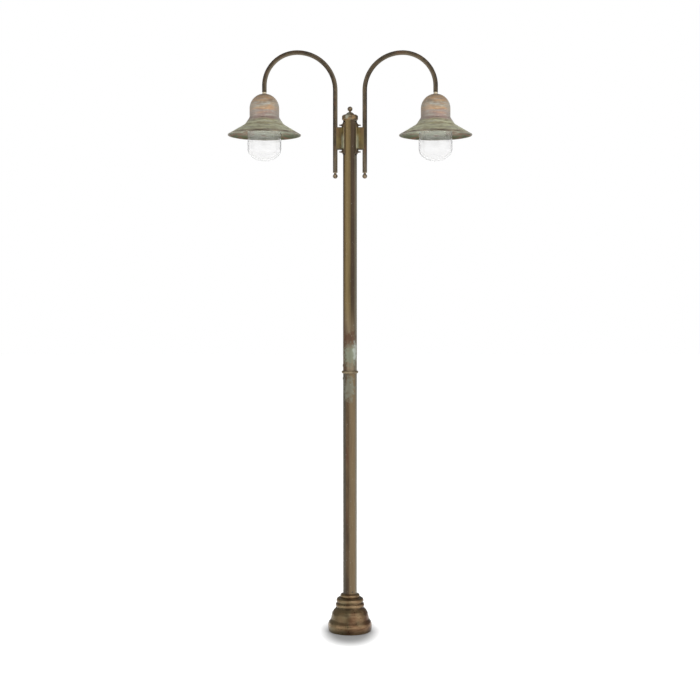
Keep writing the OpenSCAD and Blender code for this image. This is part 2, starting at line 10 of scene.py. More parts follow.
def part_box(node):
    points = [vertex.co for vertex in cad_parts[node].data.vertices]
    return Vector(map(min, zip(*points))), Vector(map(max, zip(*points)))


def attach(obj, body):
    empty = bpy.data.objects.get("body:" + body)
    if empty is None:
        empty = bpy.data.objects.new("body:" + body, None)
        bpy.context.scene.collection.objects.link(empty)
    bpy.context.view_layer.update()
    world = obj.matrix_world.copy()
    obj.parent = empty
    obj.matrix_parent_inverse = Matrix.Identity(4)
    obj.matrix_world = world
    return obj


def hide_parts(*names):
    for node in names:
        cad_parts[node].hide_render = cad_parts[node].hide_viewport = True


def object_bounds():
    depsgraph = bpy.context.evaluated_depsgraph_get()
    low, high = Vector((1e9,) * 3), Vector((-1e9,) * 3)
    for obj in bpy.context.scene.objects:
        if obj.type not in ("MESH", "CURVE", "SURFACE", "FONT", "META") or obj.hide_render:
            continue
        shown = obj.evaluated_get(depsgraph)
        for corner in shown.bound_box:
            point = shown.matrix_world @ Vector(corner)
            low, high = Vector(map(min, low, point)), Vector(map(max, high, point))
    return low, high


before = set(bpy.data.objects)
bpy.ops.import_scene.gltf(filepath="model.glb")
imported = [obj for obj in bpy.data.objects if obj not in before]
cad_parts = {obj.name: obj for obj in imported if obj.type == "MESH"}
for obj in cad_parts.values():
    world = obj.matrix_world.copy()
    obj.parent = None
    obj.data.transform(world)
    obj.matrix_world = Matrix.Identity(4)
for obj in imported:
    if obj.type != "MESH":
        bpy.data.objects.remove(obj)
cad_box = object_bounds()

# ---- Camera ----
# It stands in front of the post at chest height and looks nearly level, square to the two arms. A small shift
# keeps the pole upright while the whole height is in view.
CAMERA_BACK = 5.419
CAMERA_HEIGHT = 1.410
CAMERA_DOWN = 0.57
CAMERA_LENS = 64.2
CAMERA_SHIFT = -0.045
camera_data = bpy.data.cameras.new("camera")
camera_data.lens = CAMERA_LENS
camera_data.sensor_width = 36
camera_data.shift_y = CAMERA_SHIFT
camera = bpy.data.objects.new("camera", camera_data)
camera.location = (0, -CAMERA_BACK, CAMERA_HEIGHT)
camera.rotation_euler = (math.radians(90 - CAMERA_DOWN), 0, 0)
bpy.context.collection.objects.link(camera)
bpy.context.scene.camera = camera

# ---- Floor and light ----
# A white studio floor with a painted soft shadow round the foot, three large soft lamps, and a white
# surround.
# Metal mirrors the surround as a dim room with soft bright places at the front left, at the front right, and
# higher up in front.
FLOOR_HALF = 30.0
FLOOR_PAINT = (0.9, 0.9, 0.9)
GLOW_NEAR = 0.34
GLOW_FAR = 0.52
SHADE_MIDDLE = (0, 0.035, 0)
SHADE_STRETCH = (9, 5, 0)
SHADE_DEPTH = 0.28
SURROUND_SOFT = 0.60
ROOM_DIM = 0.22
ROOM_PLACES = (
    ((-0.77, -0.64, 0.22), 0.80, 1.2),
    ((0.77, -0.64, 0.30), 0.76, 1.3),
    ((0.08, -0.80, 0.59), 0.93, 3.0),
)
bpy.context.scene.view_settings.view_transform = "Standard"


def put(tree, kind, inputs=None, **settings):
    """Adds a node to a tree. Its inputs are plain values, or the sockets that feed them."""
    node = tree.nodes.new(kind)
    for key, value in settings.items():
        setattr(node, key, value)
    for key, value in (inputs or {}).items():
        if isinstance(value, bpy.types.NodeSocket):
            tree.links.new(value, node.inputs[key])
        else:
            node.inputs[key].default_value = value
    return node


def work(tree, operation, a, b=0.0):
    """The result of a sum on one or two numbers."""
    return put(tree, "ShaderNodeMath", {0: a, 1: b}, operation=operation).outputs[0]


def vector_work(tree, operation, a, b=(0, 0, 0)):
    """The result of a sum on one or two vectors: a number for a length or a dot product, or else a vector."""
    outputs = put(tree, "ShaderNodeVectorMath", {0: a, 1: b}, operation=operation).outputs
    return outputs["Value" if operation in ("LENGTH", "DOT_PRODUCT") else "Vector"]


def fade(tree, value, low, high, start=0.0, end=1.0):
    """Start below low, end above high, and smooth between them."""
    levels = {"Value": value, "From Min": low, "From Max": high, "To Min": start, "To Max": end}
    return put(tree, "ShaderNodeMapRange", levels, interpolation_type="SMOOTHSTEP").outputs["Result"]


def new_material(name):
    """An empty material, and its node tree."""
    material = bpy.data.materials.new(name)
    material.use_nodes = True
    material.node_tree.nodes.clear()
    return material, material.node_tree


def soft_lamp(name, place, aim, size, power):
    """A square area lamp that looks at a point. It lights, but nothing shows or mirrors it."""
    data = bpy.data.lights.new(name, "AREA")
    data.energy = power
    data.size = size
    lamp = bpy.data.objects.new(name, data)
    lamp.location = place
    lamp.rotation_euler = (Vector(aim) - Vector(place)).to_track_quat("-Z", "Y").to_euler()
    lamp.visible_camera = False
    lamp.visible_transmission = False
    lamp.visible_glossy = False
    bpy.context.collection.objects.link(lamp)


soft_lamp("main_lamp", place=(2.6, -2.6, 3.2), aim=(0, 0, 1.2), size=1.8, power=75)
soft_lamp("fill_lamp", place=(-3.2, -1.6, 1.6), aim=(0, 0, 1.2), size=1.6, power=30)
soft_lamp("back_lamp", place=(0.2, 2.6, 3.4), aim=(0, 0, 0.3), size=2.2, power=60)

surround = bpy.data.worlds.new("surround")
surround.use_nodes = True
bpy.context.scene.world = surround
sky = surround.node_tree
sky.nodes.clear()
path = put(sky, "ShaderNodeLightPath")
looked_at = work(sky, "MAXIMUM", path.outputs["Is Camera Ray"], path.outputs["Is Transmission Ray"])
way = put(sky, "ShaderNodeTexCoord").outputs["Generated"]
room = ROOM_DIM
for toward, edge, light in ROOM_PLACES:
    near = vector_work(sky, "DOT_PRODUCT", way, toward)
    room = work(sky, "ADD", fade(sky, near, edge, 1.0, 0.0, light), room)
mirrored = put(sky, "ShaderNodeMix", {0: path.outputs["Is Glossy Ray"], 2: SURROUND_SOFT, 3: room}).outputs[0]
strength = put(sky, "ShaderNodeMix", {0: looked_at, 2: mirrored, 3: 1.0}).outputs[0]
backdrop = put(sky, "ShaderNodeBackground", {"Color": (1, 1, 1, 1), "Strength": strength})
put(sky, "ShaderNodeOutputWorld", {"Surface": backdrop.outputs[0]})

floor_mesh = bpy.data.meshes.new("floor")
floor_mesh.from_pydata(
    [(x * FLOOR_HALF, y * FLOOR_HALF, 0) for x, y in ((-1, -1), (1, -1), (1, 1), (-1, 1))], [], [(0, 1, 2, 3)]
)
floor = bpy.data.objects.new("floor", floor_mesh)
bpy.context.collection.objects.link(floor)
floor_paint, tree = new_material("floor_paint")
place = put(tree, "ShaderNodeTexCoord").outputs["Object"]
# Painted shadow: paint and glow fall to SHADE_DEPTH in a soft ellipse round the foot, a little to the front.
spread = vector_work(tree, "MULTIPLY", vector_work(tree, "ADD", place, SHADE_MIDDLE), SHADE_STRETCH)
open_floor = fade(tree, vector_work(tree, "LENGTH", spread), 0.55, 1.45, SHADE_DEPTH, 1.0)
white = put(tree, "ShaderNodeVectorMath", {0: FLOOR_PAINT, "Scale": open_floor}, operation="SCALE").outputs[0]
even = fade(tree, vector_work(tree, "LENGTH", place), 0.8, 6.0, GLOW_NEAR, GLOW_FAR)
glow = work(tree, "MULTIPLY", open_floor, even)
coat = {"Base Color": white, "Roughness": 0.9, "Specular IOR Level": 0.1}
coat |= {"Emission Color": (1, 1, 1, 1), "Emission Strength": glow}
paint = put(tree, "ShaderNodeBsdfPrincipled", coat)
put(tree, "ShaderNodeOutputMaterial", {"Surface": paint.outputs[0]})
floor_mesh.materials.append(floor_paint)

# ---- Ground plate, spigot and earth stud ----
# A zinc-plated steel disc on four anchors, with the spigot that the pole slips over welded to it, and a brass
# earth stud with two nuts. The foot cover hides them all.
ZINC_LIGHT = (0.56, 0.57, 0.58)
ZINC_DARK = (0.36, 0.37, 0.39)
SPANGLE = 140.0
STUD_BRASS = (0.62, 0.46, 0.20)
STUD_DULL = (0.40, 0.27, 0.11)
WHITE_RUST = (0.42, 0.40, 0.37)


def object_place(tree, stretch=(1, 1, 1), centre=(0, 0, 0)):
    """Object coordinates in metres, moved to a centre and then stretched."""
    moved = vector_work(tree, "SUBTRACT", put(tree, "ShaderNodeTexCoord").outputs["Object"], centre)
    return put(tree, "ShaderNodeMapping", {"Vector": moved, "Scale": stretch}).outputs[0]


def mottle(tree, place, scale, detail=4.0, rough=0.55, twist=0.0):
    """Cloudy noise from 0 to 1."""
    cloud = {"Vector": place, "Scale": scale, "Detail": detail, "Roughness": rough, "Distortion": twist}
    return put(tree, "ShaderNodeTexNoise", cloud).outputs["Fac"]


def blend(tree, amount, under, over):
    """Under where amount is 0, and over where it is 1."""
    node = put(tree, "ShaderNodeMix", {0: amount}, data_type="RGBA")
    for index, colour in ((6, under), (7, over)):
        if isinstance(colour, bpy.types.NodeSocket):
            tree.links.new(colour, node.inputs[index])
        else:
            node.inputs[index].default_value = (*colour, 1)
    return node.outputs[2]


def times(tree, a, b):
    """Two numbers multiplied."""
    return work(tree, "MULTIPLY", a, b)


def surface(tree, colour, roughness, bump, depth, **sockets):
    """The shader of a solid finish: a colour, a roughness, and a bump of a depth in metres."""
    relief = put(tree, "ShaderNodeBump", {"Height": bump, "Distance": depth, "Strength": 1.0})
    values = {"Base Color": colour, "Roughness": roughness, "Normal": relief.outputs[0]}
    shader = put(tree, "ShaderNodeBsdfPrincipled", values)
    for key, value in sockets.items():
        shader.inputs[key.replace("_", " ")].default_value = value
    put(tree, "ShaderNodeOutputMaterial", {"Surface": shader.outputs[0]})


def cloudy(name, tones, cloud, gloss, pits, stretch=(1, 1, 1), **sockets):
    """A finish in clouds of two tones: cloud and gloss are (scale, low, high), and pits is (scale, depth)."""
    material, tree = new_material(name)
    place = object_place(tree, stretch)
    tone = blend(tree, fade(tree, mottle(tree, place, cloud[0]), *cloud[1:]), *tones)
    roughness = fade(tree, mottle(tree, place, gloss[0]), 0.3, 0.7, *gloss[1:])
    surface(tree, tone, roughness, mottle(tree, place, pits[0]), pits[1], **sockets)
    return material


def plain_metal(name, light, dark, scale, roughness, metallic=0.9, pits=0.00008):
    """Bare or plated metal with a cloudy tone and fine pits."""
    gloss = (scale * 3, roughness - 0.08, roughness + 0.1)
    return cloudy(name, (dark, light), (scale, 0.3, 0.7), gloss, (scale * 9, pits), Metallic=metallic)


def dress(material, *nodes):
    """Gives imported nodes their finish."""
    for name in nodes:
        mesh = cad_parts[name].data
        mesh.materials.clear()
        mesh.materials.append(material)


def both(name):
    """The left-hand and the right-hand node of a name."""
    return [f"{name}_left", f"{name}_right"]


zinc, tree = new_material("zinc_plate")
place = object_place(tree)
grains = put(tree, "ShaderNodeTexVoronoi", {"Vector": place, "Scale": SPANGLE})
grain = put(tree, "ShaderNodeSeparateColor", {"Color": grains.outputs["Color"]}).outputs[0]
cloud = fade(tree, mottle(tree, place, 30), 0.35, 0.7)
spangled = blend(tree, grain, ZINC_DARK, ZINC_LIGHT)
worn = blend(tree, times(tree, cloud, 0.5), spangled, WHITE_RUST)
surface(tree, worn, fade(tree, grain, 0, 1, 0.32, 0.52), mottle(tree, place, 700), 0.00005, Metallic=0.85)
earth_brass = plain_metal("earth_brass", STUD_BRASS, STUD_DULL, 90, 0.32)
dress(zinc, "ground_plate", "foot_spigot", "joint_sleeve", "terminal_carrier")
dress(zinc, *both("nipple"), *both("cup_nut"))
dress(earth_brass, "earth_stud", *both("holder_contacts"))

# ---- Foot cover ----
# A hollow brass casting, turned to three rings over a bell, that slips down the pole and hides the anchors.
# The open air has browned it. Painted highlights lighten its rings, its flange's edge and its front right;
# painted shade darkens its grooves and lowest band, and its front left is painted lighter and greener.
MM = 0.001
POLE_R = 30.0
FOOT_R = 95.0
FOOT_H = 162.0
FOOT_NECK_Z = 152.0
COVER_SCREW_ANGLES = (60, 120)
COVER_HOLE_R = 3.1
FOOT_BROWN = (0.122, 0.059, 0.021)
FOOT_DARK = (0.045, 0.027, 0.013)
FOOT_RED = (0.110, 0.042, 0.016)
FOOT_OLIVE = (0.165, 0.128, 0.064)
FOOT_WEAR_AND_HIGHLIGHT = (0.340, 0.225, 0.120)
# (millimetres above the ground, strength) of the painted shade in the grooves and of the painted highlights
# on the rings and the flange's edge.
FOOT_GROOVE_SHADE = (
    (0, 0.75), (18, 0.6), (26, 0.05), (38, 0.05), (44, 0.55), (58, 0.3), (73, 0.15), (77.5, 0.75), (80, 0.75),
    (85, 0.2), (97, 0.45), (103, 1), (109, 0.3), (117, 0), (122.5, 1), (128, 0.2), (137, 0), (142.5, 1),
    (148, 0.2), (157, 0), (162, 0.8),
)
FOOT_RING_HIGHLIGHTS = (
    (0, 0), (26, 0), (30, 0.5), (33, 0.4), (38, 0), (108, 0), (115, 0.4), (120, 0), (131, 0), (137, 0.35),
    (141, 0), (148, 0), (155, 0.3), (160, 0),
)
FOOT_SIDES = 144


def arc(centre, radius, start, end, steps=18):
    """Points of an arc between two angles in degrees."""
    turns = [math.radians(start + (end - start) * i / steps) for i in range(steps + 1)]
    return [(centre[0] + radius * math.cos(t), centre[1] + radius * math.sin(t)) for t in turns]


def rounded(points, steps=8):
    """An open line through (radius, height, rounding), with its corners rounded off."""
    line = [points[0][:2]]
    for before, corner, after in zip(points, points[1:], points[2:]):
        b, r = Vector(corner[:2]), corner[2]
        if r == 0:
            line.append(corner[:2])
            continue
        u, v = (Vector(before[:2]) - b).normalized(), (Vector(after[:2]) - b).normalized()
        half = u.angle(v) / 2
        centre = b + (u + v).normalized() * r / math.sin(half)
        start, end = (b + d * r / math.tan(half) - centre for d in (u, v))
        first = math.degrees(math.atan2(start.y, start.x))
        turn = (math.degrees(math.atan2(end.y, end.x)) - first + 180) % 360 - 180
        line += arc(centre, r, first, first + turn, steps)
    return line + [points[-1][:2]]


def new_piece(name, shape, materials, crease=35):
    """A finished bmesh as an object: faces out, smooth, and sharp where it turns more than crease degrees."""
    bmesh.ops.remove_doubles(shape, verts=shape.verts, dist=1e-7)
    bmesh.ops.recalc_face_normals(shape, faces=shape.faces)
    if shape.calc_volume(signed=True) < 0:
        bmesh.ops.reverse_faces(shape, faces=shape.faces)
    mesh = bpy.data.meshes.new(name)
    shape.to_mesh(mesh)
    shape.free()
    for material in materials:
        mesh.materials.append(material)
    mesh.shade_smooth()
    mesh.set_sharp_from_angle(angle=math.radians(crease))
    piece = bpy.data.objects.new(name, mesh)
    bpy.context.collection.objects.link(piece)
    return piece


def turned(name, outline, materials, x=0.0, z=0.0, sides=96, crease=35, shaped=None, lining=None):
    """A closed outline of (radius, height) in millimetres, turned about an upright axis at x, z.

    shaped(radius, height, turn) may change the radius round the turn. Faces from the outline's point
    lining[0] to lining[1] take the second material.
    """
    shape = bmesh.new()
    rings = []
    for radius, height in outline:
        ring = []
        for i in range(sides if radius > 1e-6 else 1):
            turn = 2 * math.pi * i / sides
            r = shaped(radius, height, turn) if shaped and radius > 1e-6 else radius
            ring.append(
                shape.verts.new(((x + r * math.cos(turn)) * MM, r * math.sin(turn) * MM, (z + height) * MM))
            )
        rings.append(ring)
    for k, (ring, following) in enumerate(zip(rings, rings[1:] + rings[:1])):
        if len(ring) == 1 and len(following) == 1:
            continue
        for i in range(sides):
            j = (i + 1) % sides
            corners = [ring[i % len(ring)], ring[j % len(ring)], following[j % len(following)]]
            corners.append(following[i % len(following)])
            face = shape.faces.new(list(dict.fromkeys(corners)))
            face.material_index = 1 if lining and lining[0] <= k < lining[1] else 0
    return new_piece(name, shape, materials, crease)


def drilled(piece, holes):
    """Round holes cut through a piece: (radius, start, end) each, in millimetres."""
    cutters = bmesh.new()
    for radius, start, end in holes:
        a, b = Vector(start) * MM, Vector(end) * MM
        turn = (b - a).to_track_quat("Z", "Y").to_matrix().to_4x4()
        turn.translation = (a + b) / 2
        bmesh.ops.create_cone(
            cutters,
            cap_ends=True,
            segments=32,
            radius1=radius * MM,
            radius2=radius * MM,
            depth=(b - a).length,
            matrix=turn,
        )
    drills = new_piece("drills", cutters, [])
    cut = piece.modifiers.new("holes", "BOOLEAN")
    cut.operation = "DIFFERENCE"
    cut.solver = "EXACT"
    cut.object = drills
    mesh = bpy.data.meshes.new_from_object(piece.evaluated_get(bpy.context.evaluated_depsgraph_get()))
    piece.modifiers.clear()
    piece.data = mesh
    mesh.set_sharp_from_angle(angle=math.radians(35))
    bpy.data.objects.remove(drills)


def fit(piece, body, slot, *nodes):
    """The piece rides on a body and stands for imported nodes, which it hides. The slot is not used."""
    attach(piece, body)
    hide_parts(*nodes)


def facing(tree, angle):
    """How far the outside of an upright round piece on the pole's axis faces an angle right of the front."""
    a = math.radians(angle)
    outwards = vector_work(tree, "NORMALIZE", object_place(tree, (1, 1, 0)))
    return vector_work(tree, "DOT_PRODUCT", outwards, (math.sin(a), -math.cos(a), 0))


def axes(tree, place):
    """The x, y and z of a place."""
    return put(tree, "ShaderNodeSeparateXYZ", {"Vector": place}).outputs


def height(tree):
    """Height above the ground in metres."""
    return axes(tree, object_place(tree))[2]


def tones_by_height(tree, value, stops):
    """A colour that changes with a value, through (value, colour) stops."""
    low, high = stops[0][0], stops[-1][0]
    scaled = put(tree, "ShaderNodeMapRange", {"Value": value, "From Min": low, "From Max": high})
    node = put(tree, "ShaderNodeValToRGB", {"Fac": scaled.outputs["Result"]})
    points = node.color_ramp.elements
    points.remove(points[1])
    points[0].position = 0.0
    points[0].color = (*stops[0][1], 1)
    for level, colour in stops[1:]:
        points.new((level - low) / (high - low)).color = (*colour, 1)
    return node.outputs["Color"]


def marks_by_height(tree, stops):
    """A number that changes with the height above the ground, through (millimetres, value) stops."""
    return tones_by_height(tree, height(tree), [(z * MM, (value,) * 3) for z, value in stops])


def edge_wear(tree, amount):
    """The amount where a corner sticks out, and 0 elsewhere."""
    pointed = put(tree, "ShaderNodeNewGeometry").outputs["Pointiness"]
    return fade(tree, pointed, 0.505, 0.56, 0.0, amount)


foot_brass, tree = new_material("foot_brass")
place = object_place(tree)
rings = mottle(tree, object_place(tree, (1, 1, 3)), 22, 3)
brown = blend(tree, fade(tree, mottle(tree, place, 28, 6), 0.32, 0.68), FOOT_OLIVE, FOOT_BROWN)
brown = blend(tree, fade(tree, mottle(tree, place, 11, 3, twist=0.6), 0.44, 0.62, 0, 0.85), brown, FOOT_RED)
# Painted shade in the grooves and low down.
brown = blend(tree, times(tree, marks_by_height(tree, FOOT_GROOVE_SHADE), 0.85), brown, FOOT_DARK)
# Painted light: the front left side lighter and greener.
brown = blend(tree, fade(tree, facing(tree, -62), 0.6, 0.98, 0, 0.6), brown, FOOT_OLIVE)
# Painted highlight on the front right side.
lit = times(tree, fade(tree, facing(tree, 28), 0.82, 1.0, 0, 0.4), fade(tree, rings, 0.3, 0.6))
brown = blend(tree, lit, brown, FOOT_WEAR_AND_HIGHLIGHT)
# Painted highlights on the rings and the flange's edge.
ring_highlight = times(tree, marks_by_height(tree, FOOT_RING_HIGHLIGHTS), fade(tree, rings, 0.3, 0.6, 0.4, 1))
brown = blend(tree, ring_highlight, brown, FOOT_WEAR_AND_HIGHLIGHT)
brown = blend(tree, edge_wear(tree, 0.5), brown, FOOT_WEAR_AND_HIGHLIGHT)
gloss = fade(tree, mottle(tree, place, 60), 0.3, 0.7, 0.26, 0.42)
surface(tree, brown, gloss, mottle(tree, object_place(tree, (1, 1, 2)), 120, 4), 0.00012, Metallic=0.65)

foot_outside = [(POLE_R + 0.15, FOOT_H - 0.4), (POLE_R + 0.6, FOOT_H), (POLE_R + 1.5, FOOT_H)]
foot_outside += [(POLE_R + 4, FOOT_H - 0.6)] + arc((POLE_R + 3, FOOT_NECK_Z - 0.5), 9.2, 80, -40)
foot_outside += arc((POLE_R + 17.5, 132), 11.5, 80, -42) + arc((POLE_R + 21.8, 111.8), 10.6, 54, -50)
foot_outside += rounded(
    [
        (POLE_R + 28.6, 102.6, 0),
        (FOOT_R - 23.8, 89, 20),
        (FOOT_R - 18.6, 80.5, 4),
        (FOOT_R - 17.6, 78.5, 0),
        (FOOT_R - 15.9, 72, 6),
        (FOOT_R - 12.2, 52, 10),
        (FOOT_R - 3.6, 40, 8),
        (FOOT_R - 0.2, 28, 12),
        (FOOT_R, 14, 14),
        (FOOT_R - 2.6, 2, 4),
        (FOOT_R - 4, 0, 0),
    ]
)
foot_inside = rounded(
    [
        (FOOT_R - 9, 0, 0),
        (FOOT_R - 9, 30, 12),
        (FOOT_R - 18, 48, 8),
        (FOOT_R - 25, 78, 8),
        (FOOT_R - 36, 90, 6),
        (POLE_R + 20, 98, 3),
        (POLE_R + 15, 118, 2),
        (POLE_R + 0.15, 118, 0),
    ]
)
foot = turned("foot_cover_piece", foot_outside + foot_inside, [foot_brass], sides=FOOT_SIDES, crease=40)
cover_holes = []
for angle in COVER_SCREW_ANGLES:
    c, s = math.cos(math.radians(angle)), math.sin(math.radians(angle))
    cover_holes.append((COVER_HOLE_R, (26 * c, 26 * s, FOOT_NECK_Z), (50 * c, 50 * s, FOOT_NECK_Z)))
drilled(foot, cover_holes)
fit(foot, "post", "aged_brass", "foot_cover")

# ---- Set screws of the foot and the pole ----
# Headless M6 screws of blackened steel with hexagon sockets: two at the back hold the foot cover on the pole,
# and three hold the pole on its spigot.
SET_SCREW_R = 3.0
SOCKET_R = 1.65
COVER_SCREW_OUT = 41.5
POLE_SCREW_OUT = 30.6
POLE_SCREW_Z = 172.0
POLE_SCREW_FIRST = -70
BLACKENED = (0.10, 0.095, 0.09)
BLACKENED_DARK = (0.045, 0.042, 0.04)


def geometry_tree(name, **sockets):
    """An empty geometry tree with named inputs of the given kinds, and those inputs."""
    tree = bpy.data.node_groups.new(name, "GeometryNodeTree")
    tree.interface.new_socket("Geometry", in_out="OUTPUT", socket_type="NodeSocketGeometry")
    for socket, kind in sockets.items():
        label = socket.replace("_", " ").title()
        tree.interface.new_socket(label, in_out="INPUT", socket_type="NodeSocket" + kind)
    return tree, put(tree, "NodeGroupInput").outputs


def close_tree(tree, shape, metal):
    """Makes the shape real, coats it with the metal and sends it out of the tree."""
    real = put(tree, "GeometryNodeRealizeInstances", {"Geometry": shape})
    coated = put(tree, "GeometryNodeSetMaterial", {"Geometry": real.outputs[0], "Material": metal})
    put(tree, "NodeGroupOutput", {"Geometry": coated.outputs[0]})
    return tree


def screw_ring_tree():
    """Copies of a screw that points up, laid round an upright axis in rows so that they point outwards."""
    tree, given = geometry_tree(
        "ring_of_screws",
        screw="Geometry",
        count="Int",
        rows="Int",
        row_step="Float",
        first_angle="Float",
        angle_step="Float",
        radius="Float",
        height="Float",
        lean="Float",
        metal="Material",
    )
    index = put(tree, "GeometryNodeInputIndex").outputs[0]
    row = work(tree, "FLOOR", work(tree, "DIVIDE", work(tree, "ADD", index, 0.5), given["Count"]))
    place_in_row = work(tree, "SUBTRACT", index, times(tree, row, given["Count"]))
    angle = work(tree, "ADD", given["First Angle"], times(tree, place_in_row, given["Angle Step"]))
    level = work(tree, "ADD", given["Height"], times(tree, row, given["Row Step"]))
    across, along = (times(tree, work(tree, way, angle), given["Radius"]) for way in ("COSINE", "SINE"))
    spot = put(tree, "ShaderNodeCombineXYZ", {0: across, 1: along, 2: level})
    line = put(tree, "GeometryNodeMeshLine", {"Count": times(tree, given["Count"], given["Rows"])})
    spots = put(tree, "GeometryNodeSetPosition", {"Geometry": line.outputs[0], "Position": spot.outputs[0]})
    turn = put(tree, "ShaderNodeCombineXYZ", {1: given["Lean"], 2: angle})
    laid = {"Points": spots.outputs[0], "Instance": given["Screw"], "Rotation": turn.outputs[0]}
    copies = put(tree, "GeometryNodeInstanceOnPoints", laid)
    return close_tree(tree, copies.outputs[0], given["Metal"])


def grown(name, seed, tree, **values):
    """Runs a geometry tree on the seed object and keeps the result as a plain mesh."""
    modifier = seed.modifiers.new("grown", "NODES")
    modifier.node_group = tree
    for socket in tree.interface.items_tree:
        key = socket.name.lower().replace(" ", "_")
        if socket.in_out == "INPUT" and key in values:
            modifier[socket.identifier] = values[key]
    mesh = bpy.data.meshes.new_from_object(seed.evaluated_get(bpy.context.evaluated_depsgraph_get()))
    bpy.data.objects.remove(seed)
    mesh.name = name
    piece = bpy.data.objects.new(name, mesh)
    bpy.context.collection.objects.link(piece)
    return piece


def six_sided(hexagon_r):
    """Makes the rings of one radius hexagonal, for a socket or a nut."""

    def shaped(radius, _height, turn):
        if abs(radius - hexagon_r) > 1e-6:
            return radius
        return radius * math.cos(math.pi / 6) / math.cos(turn % (math.pi / 3) - math.pi / 6)

    return shaped


def set_screw(length):
    """A headless screw whose outer end is at height 0, with a hexagon socket in it."""
    outline = [
        (0, -2.6),
        (SOCKET_R, -2.4),
        (SOCKET_R, 0),
        (SET_SCREW_R - 0.5, 0),
        (SET_SCREW_R, -0.5),
        (SET_SCREW_R, 0.6 - length),
        (SET_SCREW_R - 0.7, -length),
        (0, -length),
    ]
    return turned("set_screw", outline, [], sides=36, crease=25, shaped=six_sided(SOCKET_R))


blackened = plain_metal("blackened_steel", BLACKENED, BLACKENED_DARK, 160, 0.42, metallic=0.8)
screw_ring = screw_ring_tree()
ACROSS = math.radians(90)
cover_screws = grown(
    "foot_cover_screw_set",
    set_screw(11.0),
    screw_ring,
    count=2,
    rows=1,
    first_angle=math.radians(COVER_SCREW_ANGLES[0]),
    angle_step=math.radians(COVER_SCREW_ANGLES[1] - COVER_SCREW_ANGLES[0]),
    radius=COVER_SCREW_OUT * MM,
    height=FOOT_NECK_Z * MM,
    lean=ACROSS,
    metal=blackened,
)
fit(cover_screws, "post", "dark_steel", "foot_cover_screws")
pole_screws = grown(
    "pole_grub_screw_set",
    set_screw(6.0),
    screw_ring,
    count=3,
    rows=1,
    first_angle=math.radians(POLE_SCREW_FIRST),
    angle_step=math.radians(120),
    radius=POLE_SCREW_OUT * MM,
    height=POLE_SCREW_Z * MM,
    lean=ACROSS,
    metal=blackened,
)
fit(pole_screws, "post", "dark_steel", "pole_grub_screws")
dress(blackened, *both("arm_screws"))

# ---- Pole tubes ----
# Two drawn brass tubes, one above the other. Rain and hands have browned them in streaks along their length.
# A painted highlight lies on the front right below and on the front left higher up, with a band of painted
# shade beside it, a painted grey sheen on the right edge and a painted shadow beside the saddles.
POLE_BROWN = (0.115, 0.072, 0.034)
POLE_DARK = (0.044, 0.027, 0.014)
POLE_GOLD_HIGHLIGHT = (0.207, 0.147, 0.059)
POLE_TAN_HIGHLIGHT = (0.178, 0.126, 0.067)
POLE_DUN_HIGHLIGHT = (0.265, 0.208, 0.134)
POLE_OLIVE_SHADE = (0.060, 0.052, 0.036)
POLE_RED = (0.085, 0.036, 0.018)
POLE_GREY_SHEEN = (0.205, 0.188, 0.138)
BLOOM = (0.200, 0.222, 0.158)
STREAK = (0.440, 0.470, 0.420)
LOW_BLOOM = (0.190, 0.200, 0.150)
# (middle, stretch, full within, none beyond, strength, colour) of each patch, in the order they are laid.
POLE_PATCHES = (
    ((0.002, -0.030, 1.266), (26, 26, 22), 0.3, 1.2, 0.8, POLE_RED),
    ((0.005, -0.030, 1.200), (24, 24, 19), 0.3, 1.2, 0.85, BLOOM),
    ((0.022, -0.020, 1.214), (75, 75, 20), 0.2, 1.2, 0.8, STREAK),
    ((-0.006, -0.029, 1.055), (28, 28, 15), 0.3, 1.1, 0.7, LOW_BLOOM),
)
SADDLE_EDGE = (0.0185, 0.0225)
SADDLE_SPAN = (2.064, 2.208)
SADDLE_FADE = 0.004
SADDLE_SHADOW = (0.012, 0.009, 0.006)


def patch(tree, middle, stretch, low, high):
    """1 at a place on the object, and 0 beyond it, with a ragged border."""
    off = vector_work(tree, "LENGTH", object_place(tree, stretch, middle))
    ragged = fade(tree, mottle(tree, object_place(tree), 70, 5), 0.3, 0.7, -0.35, 0.35)
    return fade(tree, work(tree, "ADD", off, ragged), low, high, 1, 0)


